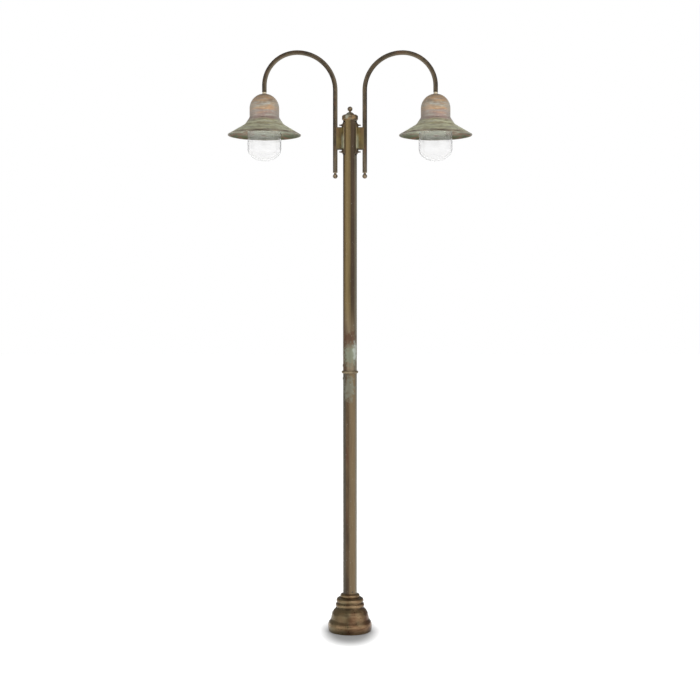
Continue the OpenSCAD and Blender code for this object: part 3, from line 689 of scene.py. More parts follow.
def pole_brass(name, highlight, highlight_angle, shade_tone, shade_angle, low_angle=None):
    """Brown drawn brass, streaked lengthwise, with a band of painted highlight and a band of painted shade.
    """
    material, tree = new_material(name)
    streaks = mottle(tree, object_place(tree, (1, 1, 0.06)), 120, 6, 0.6)
    cloud = fade(tree, mottle(tree, object_place(tree, (1, 1, 0.25)), 26, 5), 0.3, 0.7)
    brown = blend(tree, cloud, POLE_DARK, POLE_BROWN)
    reddened = fade(tree, mottle(tree, object_place(tree, (1, 1, 0.3)), 15, 4), 0.5, 0.66, 0, 0.7)
    brown = blend(tree, reddened, brown, POLE_RED)
    # Painted highlight: a lighter band round the given angle, and on the upper tube low down round a second
    # one.
    highlight_band = fade(tree, facing(tree, highlight_angle), 0.78, 0.97, 0, 1)
    if low_angle is not None:
        up = fade(tree, height(tree), 1.22, 1.45)
        low = fade(tree, facing(tree, low_angle), 0.72, 0.98, 0, 0.9)
        highlight_band = put(tree, "ShaderNodeMix", {0: up, 2: low, 3: highlight_band}).outputs[0]
        highlight = blend(tree, up, POLE_DUN_HIGHLIGHT, highlight)
    highlight_band = times(tree, highlight_band, fade(tree, streaks, 0.15, 0.65, 0.5, 1.0))
    # Painted sheen: the right edge greyer.
    brown = blend(tree, fade(tree, facing(tree, 80), 0.68, 0.92, 0, 0.8), brown, POLE_GREY_SHEEN)
    # Painted shade: a dark band round the given angle.
    brown = blend(tree, fade(tree, facing(tree, shade_angle), 0.87, 0.98, 0, 0.85), brown, shade_tone)
    brown = blend(tree, times(tree, highlight_band, 0.95), brown, highlight)
    brown = blend(tree, fade(tree, streaks, 0.58, 0.75, 0, 0.35), brown, POLE_DARK)
    for middle, stretch, full, none, strength, colour in POLE_PATCHES:
        brown = blend(tree, times(tree, patch(tree, middle, stretch, full, none), strength), brown, colour)
    flecks = fade(tree, mottle(tree, object_place(tree, (1, 1, 0.5)), 210, 3), 0.66, 0.72, 0, 0.3)
    brown = blend(tree, flecks, brown, STREAK)
    beside = work(tree, "ABSOLUTE", axes(tree, object_place(tree))[0])
    above = fade(tree, height(tree), SADDLE_SPAN[0] - SADDLE_FADE, SADDLE_SPAN[0])
    below = fade(tree, height(tree), SADDLE_SPAN[1], SADDLE_SPAN[1] + SADDLE_FADE, 1, 0)
    shaded = times(tree, fade(tree, beside, *SADDLE_EDGE), times(tree, above, below))
    brown = blend(tree, shaded, brown, SADDLE_SHADOW)
    gloss = fade(tree, streaks, 0.3, 0.7, 0.32, 0.5)
    surface(tree, brown, gloss, mottle(tree, object_place(tree, (1, 1, 0.1)), 500, 4), 0.00006, Metallic=0.6)
    return material


lower_brass = pole_brass("lower_pole_brass", POLE_TAN_HIGHLIGHT, 22, POLE_OLIVE_SHADE, -60)
upper_brass = pole_brass("upper_pole_brass", POLE_GOLD_HIGHLIGHT, -26, POLE_DARK, 14, low_angle=6)
dress(lower_brass, "lower_pole")
dress(upper_brass, "upper_pole")

# ---- Joint of the pole ----
# A turned brass bead covers the joint, and two button-head screws above it and two below it hold the tubes
# on the sleeve inside.
JOINT_Z = 1124.0
BEAD_HALF = 6.2
TUBE_WALL = 2.5
HEAD_R = 5.0
HEAD_H = 1.7
HEAD_SOCKET_R = 2.0
JOINT_SCREW_OFF = 28.0
JOINT_BROWN = (0.270, 0.215, 0.130)
JOINT_DARK = (0.085, 0.060, 0.033)
JOINT_WORN = (0.420, 0.330, 0.200)


def small_brass(name, brown, dark, worn, scale=70, metallic=0.6, polish=0.34):
    """Brown brass of the small turned and cast pieces, lighter on their edges."""
    material, tree = new_material(name)
    place = object_place(tree)
    tone = blend(tree, fade(tree, mottle(tree, place, scale, 5), 0.3, 0.7), dark, brown)
    tone = blend(tree, fade(tree, mottle(tree, place, scale * 0.35, 3), 0.5, 0.7, 0, 0.5), tone, dark)
    tone = blend(tree, edge_wear(tree, 0.85), tone, worn)
    gloss = fade(tree, mottle(tree, place, scale * 2), 0.3, 0.7, polish, polish + 0.22)
    surface(tree, tone, gloss, mottle(tree, place, scale * 8, 5), 0.00012, Metallic=metallic)
    return material


joint_brass = small_brass("joint_brass", JOINT_BROWN, JOINT_DARK, JOINT_WORN)
bead = [(POLE_R - TUBE_WALL, BEAD_HALF), (POLE_R, BEAD_HALF)] + arc((POLE_R, 0), BEAD_HALF, 88, -88, 28)
bead += [(POLE_R, -BEAD_HALF), (POLE_R - TUBE_WALL, -BEAD_HALF)]
joint_bead = turned("joint_bead", bead, [joint_brass], z=JOINT_Z, sides=96)
fit(joint_bead, "post", "aged_brass", "joint_ring")

button = [(0, 0.4), (HEAD_SOCKET_R, 0.5), (HEAD_SOCKET_R, HEAD_H)]
head_edge = [(3.4, HEAD_H, 0), (HEAD_R - 0.6, HEAD_H - 0.35, 1.2), (HEAD_R, 0.25, 0.2), (HEAD_R, 0.1, 0)]
button += rounded(head_edge, 5)
button += [(3.0, 0.1), (3.0, -5.4), (2.4, -6.2), (0, -6.2)]
joint_screws = grown(
    "joint_screw_set",
    turned("button_screw", button, [], sides=36, crease=30, shaped=six_sided(HEAD_SOCKET_R)),
    screw_ring,
    count=2,
    rows=2,
    row_step=2 * JOINT_SCREW_OFF * MM,
    first_angle=math.radians(60),
    angle_step=math.radians(120),
    radius=POLE_R * MM,
    height=(JOINT_Z - JOINT_SCREW_OFF) * MM,
    lean=ACROSS,
    metal=joint_brass,
)
fit(joint_screws, "post", "aged_brass", "joint_screws")

# ---- Pole cap and finial ----
# A turned brass bead with a stepped dome plugs the pole, and a brass ball on a stud is screwed into it.
POLE_TOP = 2214.0
CAP_PLUG = 15.0
BALL_R = 11.0
BALL_Z = 49.7
CAP_BROWN = (0.245, 0.150, 0.062)
CAP_DARK = (0.060, 0.042, 0.024)
CAP_WORN = (0.420, 0.350, 0.230)
CAP_BLOOM = (0.300, 0.320, 0.250)
BALL_BROWN = (0.300, 0.225, 0.145)
BALL_DARK = (0.055, 0.038, 0.022)

cap_brass, tree = new_material("cap_brass")
place = object_place(tree)
tone = blend(tree, fade(tree, mottle(tree, place, 60, 5), 0.3, 0.6), CAP_DARK, CAP_BROWN)
greened = fade(tree, mottle(tree, place, 34, 4), 0.42, 0.56)
greened = times(tree, greened, fade(tree, facing(tree, -60), 0.2, 0.9, 0.1, 0.8))
tone = blend(tree, greened, tone, CAP_BLOOM)
# Painted shade: the right side darker.
tone = blend(tree, fade(tree, facing(tree, 75), 0.7, 1.0, 0, 0.7), tone, CAP_DARK)
tone = blend(tree, edge_wear(tree, 0.5), tone, CAP_WORN)
gloss = fade(tree, mottle(tree, place, 120), 0.3, 0.7, 0.28, 0.45)
surface(tree, tone, gloss, mottle(tree, place, 420, 5), 0.0001, Metallic=0.6)
cap = [(0, -CAP_PLUG), (POLE_R - 3.4, -CAP_PLUG), (POLE_R - 2.65, -CAP_PLUG + 0.8), (POLE_R - 2.65, 0)]
cap += [(POLE_R + 0.5, 0)]
cap += rounded(
    [
        (POLE_R + 0.5, 0.05, 0),
        (POLE_R + 4.8, 4.5, 5),
        (POLE_R + 4.8, 19.5, 5),
        (POLE_R - 1, 24, 3),
        (POLE_R - 8.5, 24.4, 1),
        (POLE_R - 10.5, 26.2, 0),
    ]
)
cap += rounded([(POLE_R - 12.3, 27, 0), (POLE_R - 16, 32.2, 8), (6.5, 35.8, 6), (4.5, 38.2, 0)])
cap += [(3.1, 38.2), (3.1, 26), (0, 26)]
pole_cap = turned("pole_cap_piece", cap, [cap_brass], z=POLE_TOP, sides=96, crease=40)
fit(pole_cap, "post", "aged_brass", "pole_cap")

ball = [(0, 27), (2.5, 27), (3.0, 27.5), (3.0, 38.3), (4.2, 38.3)]
ball += rounded([(4.2, 38.4, 0), (3.5, 40.5, 1.5), (3.4, 40, 0)], 4)[1:-1]
ball += arc((0, BALL_Z), BALL_R, -70, 90, 28)
ball_brass = small_brass("ball_brass", BALL_BROWN, BALL_DARK, CAP_WORN, 90, 0.75, 0.15)
finial = turned("finial_ball", ball, [ball_brass], z=POLE_TOP, sides=64, crease=40)
fit(finial, "post", "aged_brass", "cap_finial")

# ---- Terminals in the pole ----
# A moulded terminal block on a steel strip that hangs from the cap's plug, behind the two arms' cable holes.
TERMINAL_WHITE = (0.74, 0.73, 0.68)
TERMINAL_AGED = (0.60, 0.56, 0.45)

tones = (TERMINAL_WHITE, TERMINAL_AGED)
terminal_plastic = cloudy("terminal_plastic", tones, (60, 0.35, 0.7), (300, 0.45, 0.6), (1500, 0.00003))
dress(terminal_plastic, "terminal_block")

# ---- Saddles ----
# On each side a cast plate, bent to the pole, carries the arm's bracket. Its ends are thinned to a step.
BRACKET_Z = 2136.0
SADDLE_IN = 30.1
SADDLE_OUT = 36.0
SADDLE_HALF = 68.5
SADDLE_HALF_ANGLE = 44.0
SADDLE_STEPS = 32
SADDLE_BROWN = (0.155, 0.100, 0.050)
SADDLE_DARK = (0.035, 0.025, 0.016)
SADDLE_WORN = (0.260, 0.190, 0.115)

saddle_brass = small_brass("saddle_brass", SADDLE_BROWN, SADDLE_DARK, SADDLE_WORN, 55)


def swept_outline(name, sections, materials):
    """A closed solid through like outlines, one after another, with a flat cap at each end."""
    shape = bmesh.new()
    rings = [[shape.verts.new(Vector(point) * MM) for point in section] for section in sections]
    for ring, following in zip(rings, rings[1:]):
        for i in range(len(ring)):
            j = (i + 1) % len(ring)
            shape.faces.new((ring[i], ring[j], following[j], following[i]))
    shape.faces.new(rings[0])
    shape.faces.new(rings[-1][::-1])
    return new_piece(name, shape, materials)


def soften(piece, width):
    """Rounds the piece's corners with a live bevel."""
    bevel = piece.modifiers.new("soft_edges", "BEVEL")
    bevel.width = width * MM
    bevel.segments = 3
    bevel.limit_method = "ANGLE"
    bevel.angle_limit = math.radians(30)
    bevel.harden_normals = False


SIDES = (("left", -1), ("right", 1))
saddle_half = [
    (SADDLE_IN, SADDLE_HALF),
    (SADDLE_IN + 2, SADDLE_HALF),
    (SADDLE_IN + 2.8, SADDLE_HALF - 3.5),
    (SADDLE_OUT, SADDLE_HALF - 7.5),
]
saddle_outline = saddle_half + [(r, -z) for r, z in saddle_half[::-1]]
for side, sign in SIDES:
    sections = []
    for i in range(SADDLE_STEPS + 1):
        turn = math.radians(SADDLE_HALF_ANGLE * (2 * i / SADDLE_STEPS - 1))
        sections.append(
            [(sign * r * math.cos(turn), r * math.sin(turn), BRACKET_Z + z) for r, z in saddle_outline]
        )
    saddle = swept_outline(f"saddle_{side}", sections, [saddle_brass])
    soften(saddle, 0.6)
    fit(saddle, "post", "aged_brass", f"post_saddle_{side}")

# ---- Saddle screws ----
# A stud with a collar and a domed nut holds each saddle at its top and at its bottom.
SADDLE_SCREW_Z = 58.0
NOSE_R = 2.8
STUD_R = 2.5
COLLAR_R = 4.6

stud = [(0, -9.5), (STUD_R - 0.4, -9.5), (STUD_R, -9.1), (STUD_R, 0.1), (COLLAR_R - 0.4, 0.1)]
stud += [(COLLAR_R, 0.5), (COLLAR_R, 2.0), (COLLAR_R - 0.4, 2.4), (NOSE_R + 0.3, 2.5), (NOSE_R, 2.9)]
stud += arc((0, 8.2), NOSE_R, 0, 90, 10)
saddle_studs = grown(
    "saddle_stud_set",
    turned("saddle_stud", stud, [], sides=40, crease=30),
    screw_ring,
    count=2,
    rows=2,
    row_step=2 * SADDLE_SCREW_Z * MM,
    first_angle=0.0,
    angle_step=math.pi,
    radius=SADDLE_OUT * MM,
    height=(BRACKET_Z - SADDLE_SCREW_Z) * MM,
    lean=ACROSS,
    metal=saddle_brass,
)
fit(saddle_studs, "post", "aged_brass", *both("saddle_screws"))

# ---- Arm brackets ----
# A cast web with hollowed flanks sits against each saddle and cradles the arm tube. Two screws from the
# saddle's back pull the tube into it.
BRACKET_HALF = 48.0
ARM_X = 64.0
ARM_R = 10.0
WEB_HALF = 12.0
FLANK_R = 16.0
FLANK_X = 46.0
WIDE_HALF = 26.0
WIDE_X = 26.0
SHELF_HALF = 25.04
GRIP_HALF = 9.27
CAST_BROWN = (0.136, 0.096, 0.027)
CAST_DARK = (0.070, 0.048, 0.016)
CAST_RED = (0.112, 0.055, 0.018)
CAST_WORN = (0.300, 0.240, 0.130)
CAST_PALE = (0.270, 0.285, 0.200)

bracket_brass, tree = new_material("bracket_brass")
place = object_place(tree)
tone = blend(tree, fade(tree, mottle(tree, place, 45, 5), 0.3, 0.7), CAST_DARK, CAST_BROWN)
beside = work(tree, "ABSOLUTE", axes(tree, place)[0])
level = axes(tree, place)[2]
outer = fade(tree, beside, 0.036, 0.052)
upper = fade(tree, level, (BRACKET_Z - 10) * MM, (BRACKET_Z + 30) * MM)
tone = blend(tree, times(tree, times(tree, outer, upper), 0.8), tone, CAST_RED)
# Painted highlight: a pale patch on the flanks low down, next to the saddle.
inner = fade(tree, beside, 0.030, 0.041, 1, 0)
lower = fade(tree, level, (BRACKET_Z - 5) * MM, (BRACKET_Z + 25) * MM, 1, 0)
ragged = fade(tree, mottle(tree, place, 60, 4), 0.3, 0.6, 0.45, 1)
tone = blend(tree, times(tree, times(tree, inner, lower), ragged), tone, CAST_PALE)
# Painted shade: darker along the bottom and the top edge.
for low, high, start, end in ((-47, -40, 0.9, 0), (44, 47, 0, 0.7)):
    edge_shade = fade(tree, level, (BRACKET_Z + low) * MM, (BRACKET_Z + high) * MM, start, end)
    tone = blend(tree, edge_shade, tone, SADDLE_DARK)
tone = blend(tree, edge_wear(tree, 0.35), tone, CAST_WORN)
gloss = fade(tree, mottle(tree, place, 110), 0.3, 0.7, 0.5, 0.68)
surface(tree, tone, gloss, mottle(tree, place, 380, 5), 0.00015, Metallic=0.35, Specular_IOR_Level=0.3)

shelf = SADDLE_OUT + 0.1
reach = math.degrees(math.atan2(SHELF_HALF, WIDE_X))
grip = math.degrees(math.asin(GRIP_HALF / (ARM_R + 0.1)))
web_top = [(WIDE_X, WIDE_HALF)]
web_top += arc((FLANK_X, WEB_HALF + FLANK_R), FLANK_R, 187.2, 270, 14) + [(ARM_X - 4, WEB_HALF)]
web = arc((0, 0), shelf, -reach, reach, 20) + web_top
web += arc((ARM_X, 0), ARM_R + 0.1, 180 - grip, 180 + grip, 16) + [(x, -y) for x, y in web_top[::-1]]
for side, sign in SIDES:
    sections = [[(sign * x, y, BRACKET_Z + z) for x, y in web] for z in (-BRACKET_HALF, BRACKET_HALF)]
    bracket = swept_outline(f"bracket_{side}", sections, [bracket_brass])
    soften(bracket, 1.3)
    fit(bracket, "post", "aged_brass", f"arm_bracket_{side}")

# ---- Swan-neck arms ----
# A 20 mm brass tube on each side, bent to a hook: the arc is wider on the pole's side than on the lamp's
# side. It is dark olive brown, with painted light underneath and on the side that faces the pole, and
# painted shade on the side away from it.
INNER_BEND_R = 164.0
OUTER_BEND_R = 143.0
ARM_TOP_Z = BRACKET_Z + 372.0
ARM_TAIL = 146.0
ARM_END_Z = 2337.0
ARM_WALL = 1.5
LAMP_X = ARM_X + INNER_BEND_R + OUTER_BEND_R
ARM_OLIVE = (0.085, 0.058, 0.030)
ARM_DARK = (0.034, 0.025, 0.014)
ARM_PAINTED_LIGHT = (0.175, 0.142, 0.096)
ARM_RED = (0.105, 0.050, 0.024)
ARM_DUST = (0.25, 0.24, 0.19)


def sweep_tree():
    """A round tube along a line of points."""
    sockets = {"line": "Geometry", "tube_radius": "Float", "sides": "Int", "metal": "Material"}
    tree, given = geometry_tree("bent_tube", **sockets)
    line = put(tree, "GeometryNodeMeshToCurve", {"Mesh": given["Line"]})
    round_shape = {"Resolution": given["Sides"], "Radius": given["Tube Radius"]}
    ring = put(tree, "GeometryNodeCurvePrimitiveCircle", round_shape)
    tube = put(tree, "GeometryNodeCurveToMesh", {"Curve": line.outputs[0], "Profile Curve": ring.outputs[0]})
    smooth = put(tree, "GeometryNodeSetShadeSmooth", {"Geometry": tube.outputs[0]})
    return close_tree(tree, smooth.outputs[0], given["Metal"])


arm_brass, tree = new_material("arm_brass")
place = object_place(tree)
out = axes(tree, put(tree, "ShaderNodeTexCoord").outputs["Normal"])
away = times(tree, out[0], work(tree, "SIGN", axes(tree, place)[0]))
olive = blend(tree, fade(tree, mottle(tree, place, 34, 5), 0.3, 0.7), ARM_DARK, ARM_OLIVE)
olive = blend(tree, fade(tree, mottle(tree, place, 16, 3), 0.52, 0.7, 0, 0.6), olive, ARM_RED)
# Painted light on the side facing the pole and underneath, painted shade on the side away from it.
olive = blend(tree, fade(tree, away, -0.95, 0.1, 0.85, 0), olive, ARM_PAINTED_LIGHT)
olive = blend(tree, fade(tree, out[2], -0.9, -0.1, 0.7, 0), olive, ARM_PAINTED_LIGHT)
olive = blend(tree, fade(tree, away, 0.2, 0.9, 0, 0.85), olive, ARM_DARK)
olive = blend(tree, fade(tree, mottle(tree, place, 190, 4), 0.64, 0.72, 0, 0.5), olive, ARM_DUST)
gloss = fade(tree, mottle(tree, place, 60), 0.3, 0.7, 0.38, 0.56)
surface(tree, olive, gloss, mottle(tree, place, 500, 4), 0.00007, Metallic=0.55)

bend_x = ARM_X + INNER_BEND_R
arm_line = [(ARM_X, BRACKET_Z - ARM_TAIL), (ARM_X, BRACKET_Z)]
arm_line += arc((bend_x, ARM_TOP_Z - INNER_BEND_R), INNER_BEND_R, 180, 90, 48)
arm_line += arc((bend_x, ARM_TOP_Z - OUTER_BEND_R), OUTER_BEND_R, 90, 0, 48)[1:] + [(LAMP_X, ARM_END_Z)]
bent_tube = sweep_tree()
for side, sign in SIDES:
    line_mesh = bpy.data.meshes.new("arm_line")
    line_mesh.from_pydata(
        [(sign * x * MM, 0, z * MM) for x, z in arm_line], [(i, i + 1) for i in range(len(arm_line) - 1)], []
    )
    seed = bpy.data.objects.new("arm_line", line_mesh)
    bpy.context.collection.objects.link(seed)
    arm = grown(f"arm_{side}", seed, bent_tube, tube_radius=ARM_R * MM, sides=40, metal=arm_brass)
    first = arm.data.polygons[0]
    inward = (first.center - Vector((sign * ARM_X * MM, 0, first.center.z))).dot(first.normal) < 0
    wall_of_tube = arm.modifiers.new("wall", "SOLIDIFY")
    wall_of_tube.thickness = ARM_WALL * MM
    wall_of_tube.offset = 1 if inward else -1
    wall_of_tube.use_flip_normals = inward
    fit(arm, "post", "aged_brass", f"arm_tube_{side}")

# ---- Ball ends ----
# The lower end of each arm is closed by a cast ball on a short neck and a disc, with a spigot in the tube.
TAIL_Z = BRACKET_Z - ARM_TAIL
END_BALL_R = 10.5
ball_end = [(0, 12), (7.6, 12), (8.4, 11.2), (8.4, 0), (ARM_R - 0.3, 0), (ARM_R, -0.3)]
ball_end += [(ARM_R, -1.7), (ARM_R - 0.3, -2), (6.4, -2)] + arc((6.7, -3.6), 1.2, 110, 180, 5)
ball_end += arc((0, -17), END_BALL_R, 58.4, -90, 28)
for side, sign in SIDES:
    end = turned(f"ball_end_{side}", ball_end, [ball_brass], x=sign * ARM_X, z=TAIL_Z, sides=64, crease=40)
    fit(end, "post", "aged_brass", f"arm_end_ball_{side}")

# ---- Ferrules ----
# A pale turned collar between each arm and its shade, with a bush in the tube that takes the threaded nipple.
CROWN_Z = 2329.0
FERRULE_R = 9.0
FERRULE_H = 8.0
PALE_BRASS = (0.74, 0.66, 0.50)
PALE_DULL = (0.52, 0.44, 0.30)

ferrule_brass = plain_metal("ferrule_brass", PALE_BRASS, PALE_DULL, 120, 0.36, metallic=0.7)
ferrule = [(5.1, 0), (FERRULE_R - 0.6, 0), (FERRULE_R, 0.6), (FERRULE_R, 2.4), (FERRULE_R - 0.5, 2.9)]
ferrule += [(FERRULE_R - 0.5, 5.1), (FERRULE_R, 5.6), (FERRULE_R, 7.4), (FERRULE_R - 0.6, FERRULE_H)]
ferrule += [(8.4, FERRULE_H), (8.4, 19.2), (7.6, 20), (5.1, 20)]
for side, sign in SIDES:
    collar = turned(f"ferrule_{side}", ferrule, [ferrule_brass], x=sign * LAMP_X, z=CROWN_Z, sides=64)
    fit(collar, "post", "pale_brass", f"arm_ferrule_{side}")

# ---- Leads and washers ----
# A rubber-sheathed lead runs from the terminal block through each bracket and arm to the lampholder.
SHEATH = (0.045, 0.044, 0.043)
RUBBER = (0.032, 0.031, 0.030)
RUBBER_DUST = (0.12, 0.12, 0.115)


def matt_rubber(name, colour, scale):
    """Rubber with a dusty bloom."""
    material, tree = new_material(name)
    place = object_place(tree)
    dust = fade(tree, mottle(tree, place, scale, 5), 0.45, 0.75, 0, 0.35)
    gloss = fade(tree, mottle(tree, place, scale * 2), 0.3, 0.7, 0.6, 0.8)
    surface(tree, blend(tree, dust, colour, RUBBER_DUST), gloss, mottle(tree, place, scale * 12), 0.00006)
    return material


sheath_rubber = matt_rubber("lead_sheath", SHEATH, 60)
seal_rubber = matt_rubber("seal_rubber", RUBBER, 80)
dress(sheath_rubber, *both("lamp_lead"))
dress(seal_rubber, *both("crown_washer"))

# ---- Shades ----
# Spun copper bells with a rolled bead at the rim. Weather has turned the domes pinkish brown, the flares
# grey-green and the rims reddish, in fine rings from the spinning; their flanks carry a painted grey sheen.
# Underneath they are dark green, reddened in patches, with a painted pale reflection round the glass.
DOME_R = 64.0
DOME_H = 102.0
DOME_CENTRE = -math.sqrt(DOME_R**2 - 10**2)
KNEE_R = 84.0
KNEE_Z = -(DOME_H + (KNEE_R - DOME_R) * math.tan(math.radians(56.5)))
RIM_R = 156.0
RIM_Z = KNEE_Z - (RIM_R - KNEE_R) * math.tan(math.radians(32.3))
SHADE_WALL = 1.5
BEAD_R = 2.5
COPPER_TOP = (0.250, 0.165, 0.110)
COPPER_DOME = (0.365, 0.268, 0.172)
COPPER_ORANGE = (0.490, 0.300, 0.165)
COPPER_GREY = (0.370, 0.350, 0.300)
COPPER_WAIST = (0.330, 0.240, 0.205)
COPPER_KNEE = (0.360, 0.335, 0.205)
COPPER_FLARE = (0.545, 0.555, 0.375)
COPPER_RIM = (0.300, 0.250, 0.170)
COPPER_BEAD = (0.100, 0.080, 0.050)
COPPER_DARK = (0.130, 0.105, 0.085)
COPPER_FLANK_SHEEN = (0.420, 0.400, 0.350)
COPPER_FLECK = (0.580, 0.600, 0.470)
COPPER_SPOT = (0.280, 0.150, 0.090)
INNER_GREEN = (0.078, 0.086, 0.040)
INNER_REFLECTION_PALE = (0.720, 0.760, 0.580)
INNER_RED = (0.210, 0.095, 0.065)


def wall(line, thick):
    """The closed outline of a wall on the right of a line that leads down."""
    inner = []
    for i, point in enumerate(line):
        normals = []
        for k in (max(i - 1, 0), min(i, len(line) - 2)):
            way = (Vector(line[k + 1]) - Vector(line[k])).normalized()
            normals.append(Vector((way.y, -way.x)))
        mitre = (normals[0] + normals[1]).normalized()
        inner.append(tuple(Vector(point) + mitre * thick / mitre.dot(normals[0])))
    return inner + line[::-1]


def lamp_place(tree, stretch=(1, 1, 1)):
    """Coordinates from the crown of the nearer shade, so that both lamps weather alike."""
    apart = axes(tree, object_place(tree))
    from_axis = work(tree, "SUBTRACT", work(tree, "ABSOLUTE", apart[0]), LAMP_X * MM)
    fall = work(tree, "SUBTRACT", apart[2], CROWN_Z * MM)
    joined = put(tree, "ShaderNodeCombineXYZ", {0: from_axis, 1: apart[1], 2: fall}).outputs[0]
    return put(tree, "ShaderNodeMapping", {"Vector": joined, "Scale": stretch}).outputs[0]


outer_copper, tree = new_material("outer_copper")
place = lamp_place(tree)
cloud = mottle(tree, place, 22, 6, twist=0.4)
level = axes(tree, place)[2]
wavy = work(tree, "ADD", level, fade(tree, cloud, 0.2, 0.8, -0.006, 0.006))
stops = (
    ((RIM_Z + 1) * MM, COPPER_BEAD),
    ((RIM_Z + 3) * MM, COPPER_RIM),
    ((RIM_Z + 12) * MM, COPPER_FLARE),
    ((KNEE_Z - 14) * MM, COPPER_FLARE),
    ((KNEE_Z - 4) * MM, COPPER_KNEE),
    ((KNEE_Z + 4) * MM, COPPER_FLARE),
    ((KNEE_Z + 11) * MM, COPPER_KNEE),
    (-0.114, COPPER_WAIST),
    (-0.078, COPPER_WAIST),
    (-0.070, COPPER_ORANGE),
    (-0.062, COPPER_DOME),
    (-0.050, COPPER_GREY),
    (-0.040, COPPER_DOME),
    (-0.028, COPPER_ORANGE),
    (-0.014, COPPER_DOME),
    (-0.004, COPPER_TOP),
)
tone = tones_by_height(tree, wavy, stops)
broad = mottle(tree, lamp_place(tree, (1, 1, 8)), 15, 5, 0.6)
fine = mottle(tree, lamp_place(tree, (1, 1, 11)), 20, 4, 0.6)
on_dome = fade(tree, level, -0.100, -0.080)
tone = blend(tree, times(tree, fade(tree, broad, 0.50, 0.64, 0, 0.75), on_dome), tone, COPPER_ORANGE)
tone = blend(tree, fade(tree, broad, 0.34, 0.46, 0.7, 0), tone, COPPER_GREY)
browned = fade(tree, mottle(tree, lamp_place(tree, (1, 1, 2)), 26, 5), 0.46, 0.66, 0, 0.55)
tone = blend(tree, times(tree, browned, fade(tree, level, -0.125, -0.110, 1, 0)), tone, COPPER_RIM)
tone = blend(tree, fade(tree, fine, 0.46, 0.66, 0, 0.6), tone, COPPER_DARK)
flecked = fade(tree, mottle(tree, lamp_place(tree, (1, 1, 3)), 60, 5), 0.56, 0.74, 0, 0.5)
tone = blend(tree, flecked, tone, COPPER_FLECK)
tone = blend(tree, fade(tree, mottle(tree, place, 90, 4), 0.62, 0.74, 0, 0.5), tone, COPPER_SPOT)
out = put(tree, "ShaderNodeTexCoord").outputs["Normal"]
# Painted sheen: the left and right flanks greyer.
for toward, amount in (((-0.97, -0.24, 0), 0.4), ((0.99, 0.10, 0), 0.6)):
    faced = vector_work(tree, "DOT_PRODUCT", out, toward)
    tone = blend(tree, fade(tree, faced, 0.30, 0.95, 0, amount), tone, COPPER_FLANK_SHEEN)
gloss = fade(tree, cloud, 0.3, 0.7, 0.46, 0.62)
surface(tree, tone, gloss, fine, 0.00015, Metallic=0.35)

inner_copper, tree = new_material("inner_copper")
place = lamp_place(tree)
from_axis = vector_work(tree, "LENGTH", vector_work(tree, "MULTIPLY", place, (1, 1, 0)))
# Painted reflection: a pale zone round the lamp's axis, seen through the glass.
glass_reflection_zone = fade(tree, from_axis, 0.095, 0.148, 1, 0)
tone = blend(tree, glass_reflection_zone, INNER_GREEN, INNER_REFLECTION_PALE)
tone = blend(tree, fade(tree, mottle(tree, place, 18, 5), 0.35, 0.7, 0, 0.5), tone, INNER_GREEN)
reddened = fade(tree, mottle(tree, lamp_place(tree, (1, 1, 4)), 20, 5), 0.50, 0.64, 0, 0.7)
tone = blend(tree, reddened, tone, INNER_RED)
spun = mottle(tree, lamp_place(tree, (1, 1, 9)), 14, 5)
gloss = fade(tree, spun, 0.3, 0.7, 0.42, 0.6)
surface(tree, tone, gloss, spun, 0.00012, Metallic=0.1, Specular_IOR_Level=0.15)

crown_angle = math.degrees(math.acos(10 / DOME_R))
shade_line = [(5.2, 0)] + arc((0, DOME_CENTRE), DOME_R, crown_angle, 0, 30)
shade_line += rounded(
    [(DOME_R, DOME_CENTRE - 1, 0), (DOME_R, -DOME_H, 14), (KNEE_R, KNEE_Z, 34), (RIM_R, RIM_Z, 0)], 12
)
lining_points = len(shade_line)
outline = wall(shade_line, SHADE_WALL)
slope = math.degrees(math.atan2(RIM_Z - KNEE_Z, RIM_R - KNEE_R))
bead_ring = arc((RIM_R, RIM_Z - 0.4), BEAD_R, slope + 235, slope + 485, 22)
outline = outline[: lining_points - 1] + bead_ring + outline[lining_points + 1 :]
for side, sign in SIDES:
    shade = turned(
        f"shade_bell_{side}",
        outline,
        [outer_copper, inner_copper],
        x=sign * LAMP_X,
        z=CROWN_Z,
        sides=144,
        crease=45,
        lining=(0, lining_points - 1),
    )
    fit(shade, "post", "weathered_copper", f"shade_{side}")

# ---- Lamp cups and lampholders ----
# A cast cup inside each dome has a threaded mouth for the glass. A porcelain lampholder sits in it on the
# nipple.
CAST_GREY = (0.58, 0.58, 0.57)
CAST_SHADE = (0.40, 0.40, 0.39)
GLAZE_WHITE = (0.82, 0.81, 0.77)
GLAZE_CREAM = (0.72, 0.69, 0.60)

cast_alloy = plain_metal("cast_alloy", CAST_GREY, CAST_SHADE, 45, 0.5, metallic=0.7, pits=0.00025)
tones = (GLAZE_WHITE, GLAZE_CREAM)
gloss = (200, 0.12, 0.22)
glaze = cloudy("porcelain_glaze", tones, (50, 0.4, 0.75), gloss, (160, 0.00008), Coat_Weight=0.4)
dress(cast_alloy, *both("lamp_cup"))
dress(glaze, *both("lampholder"))

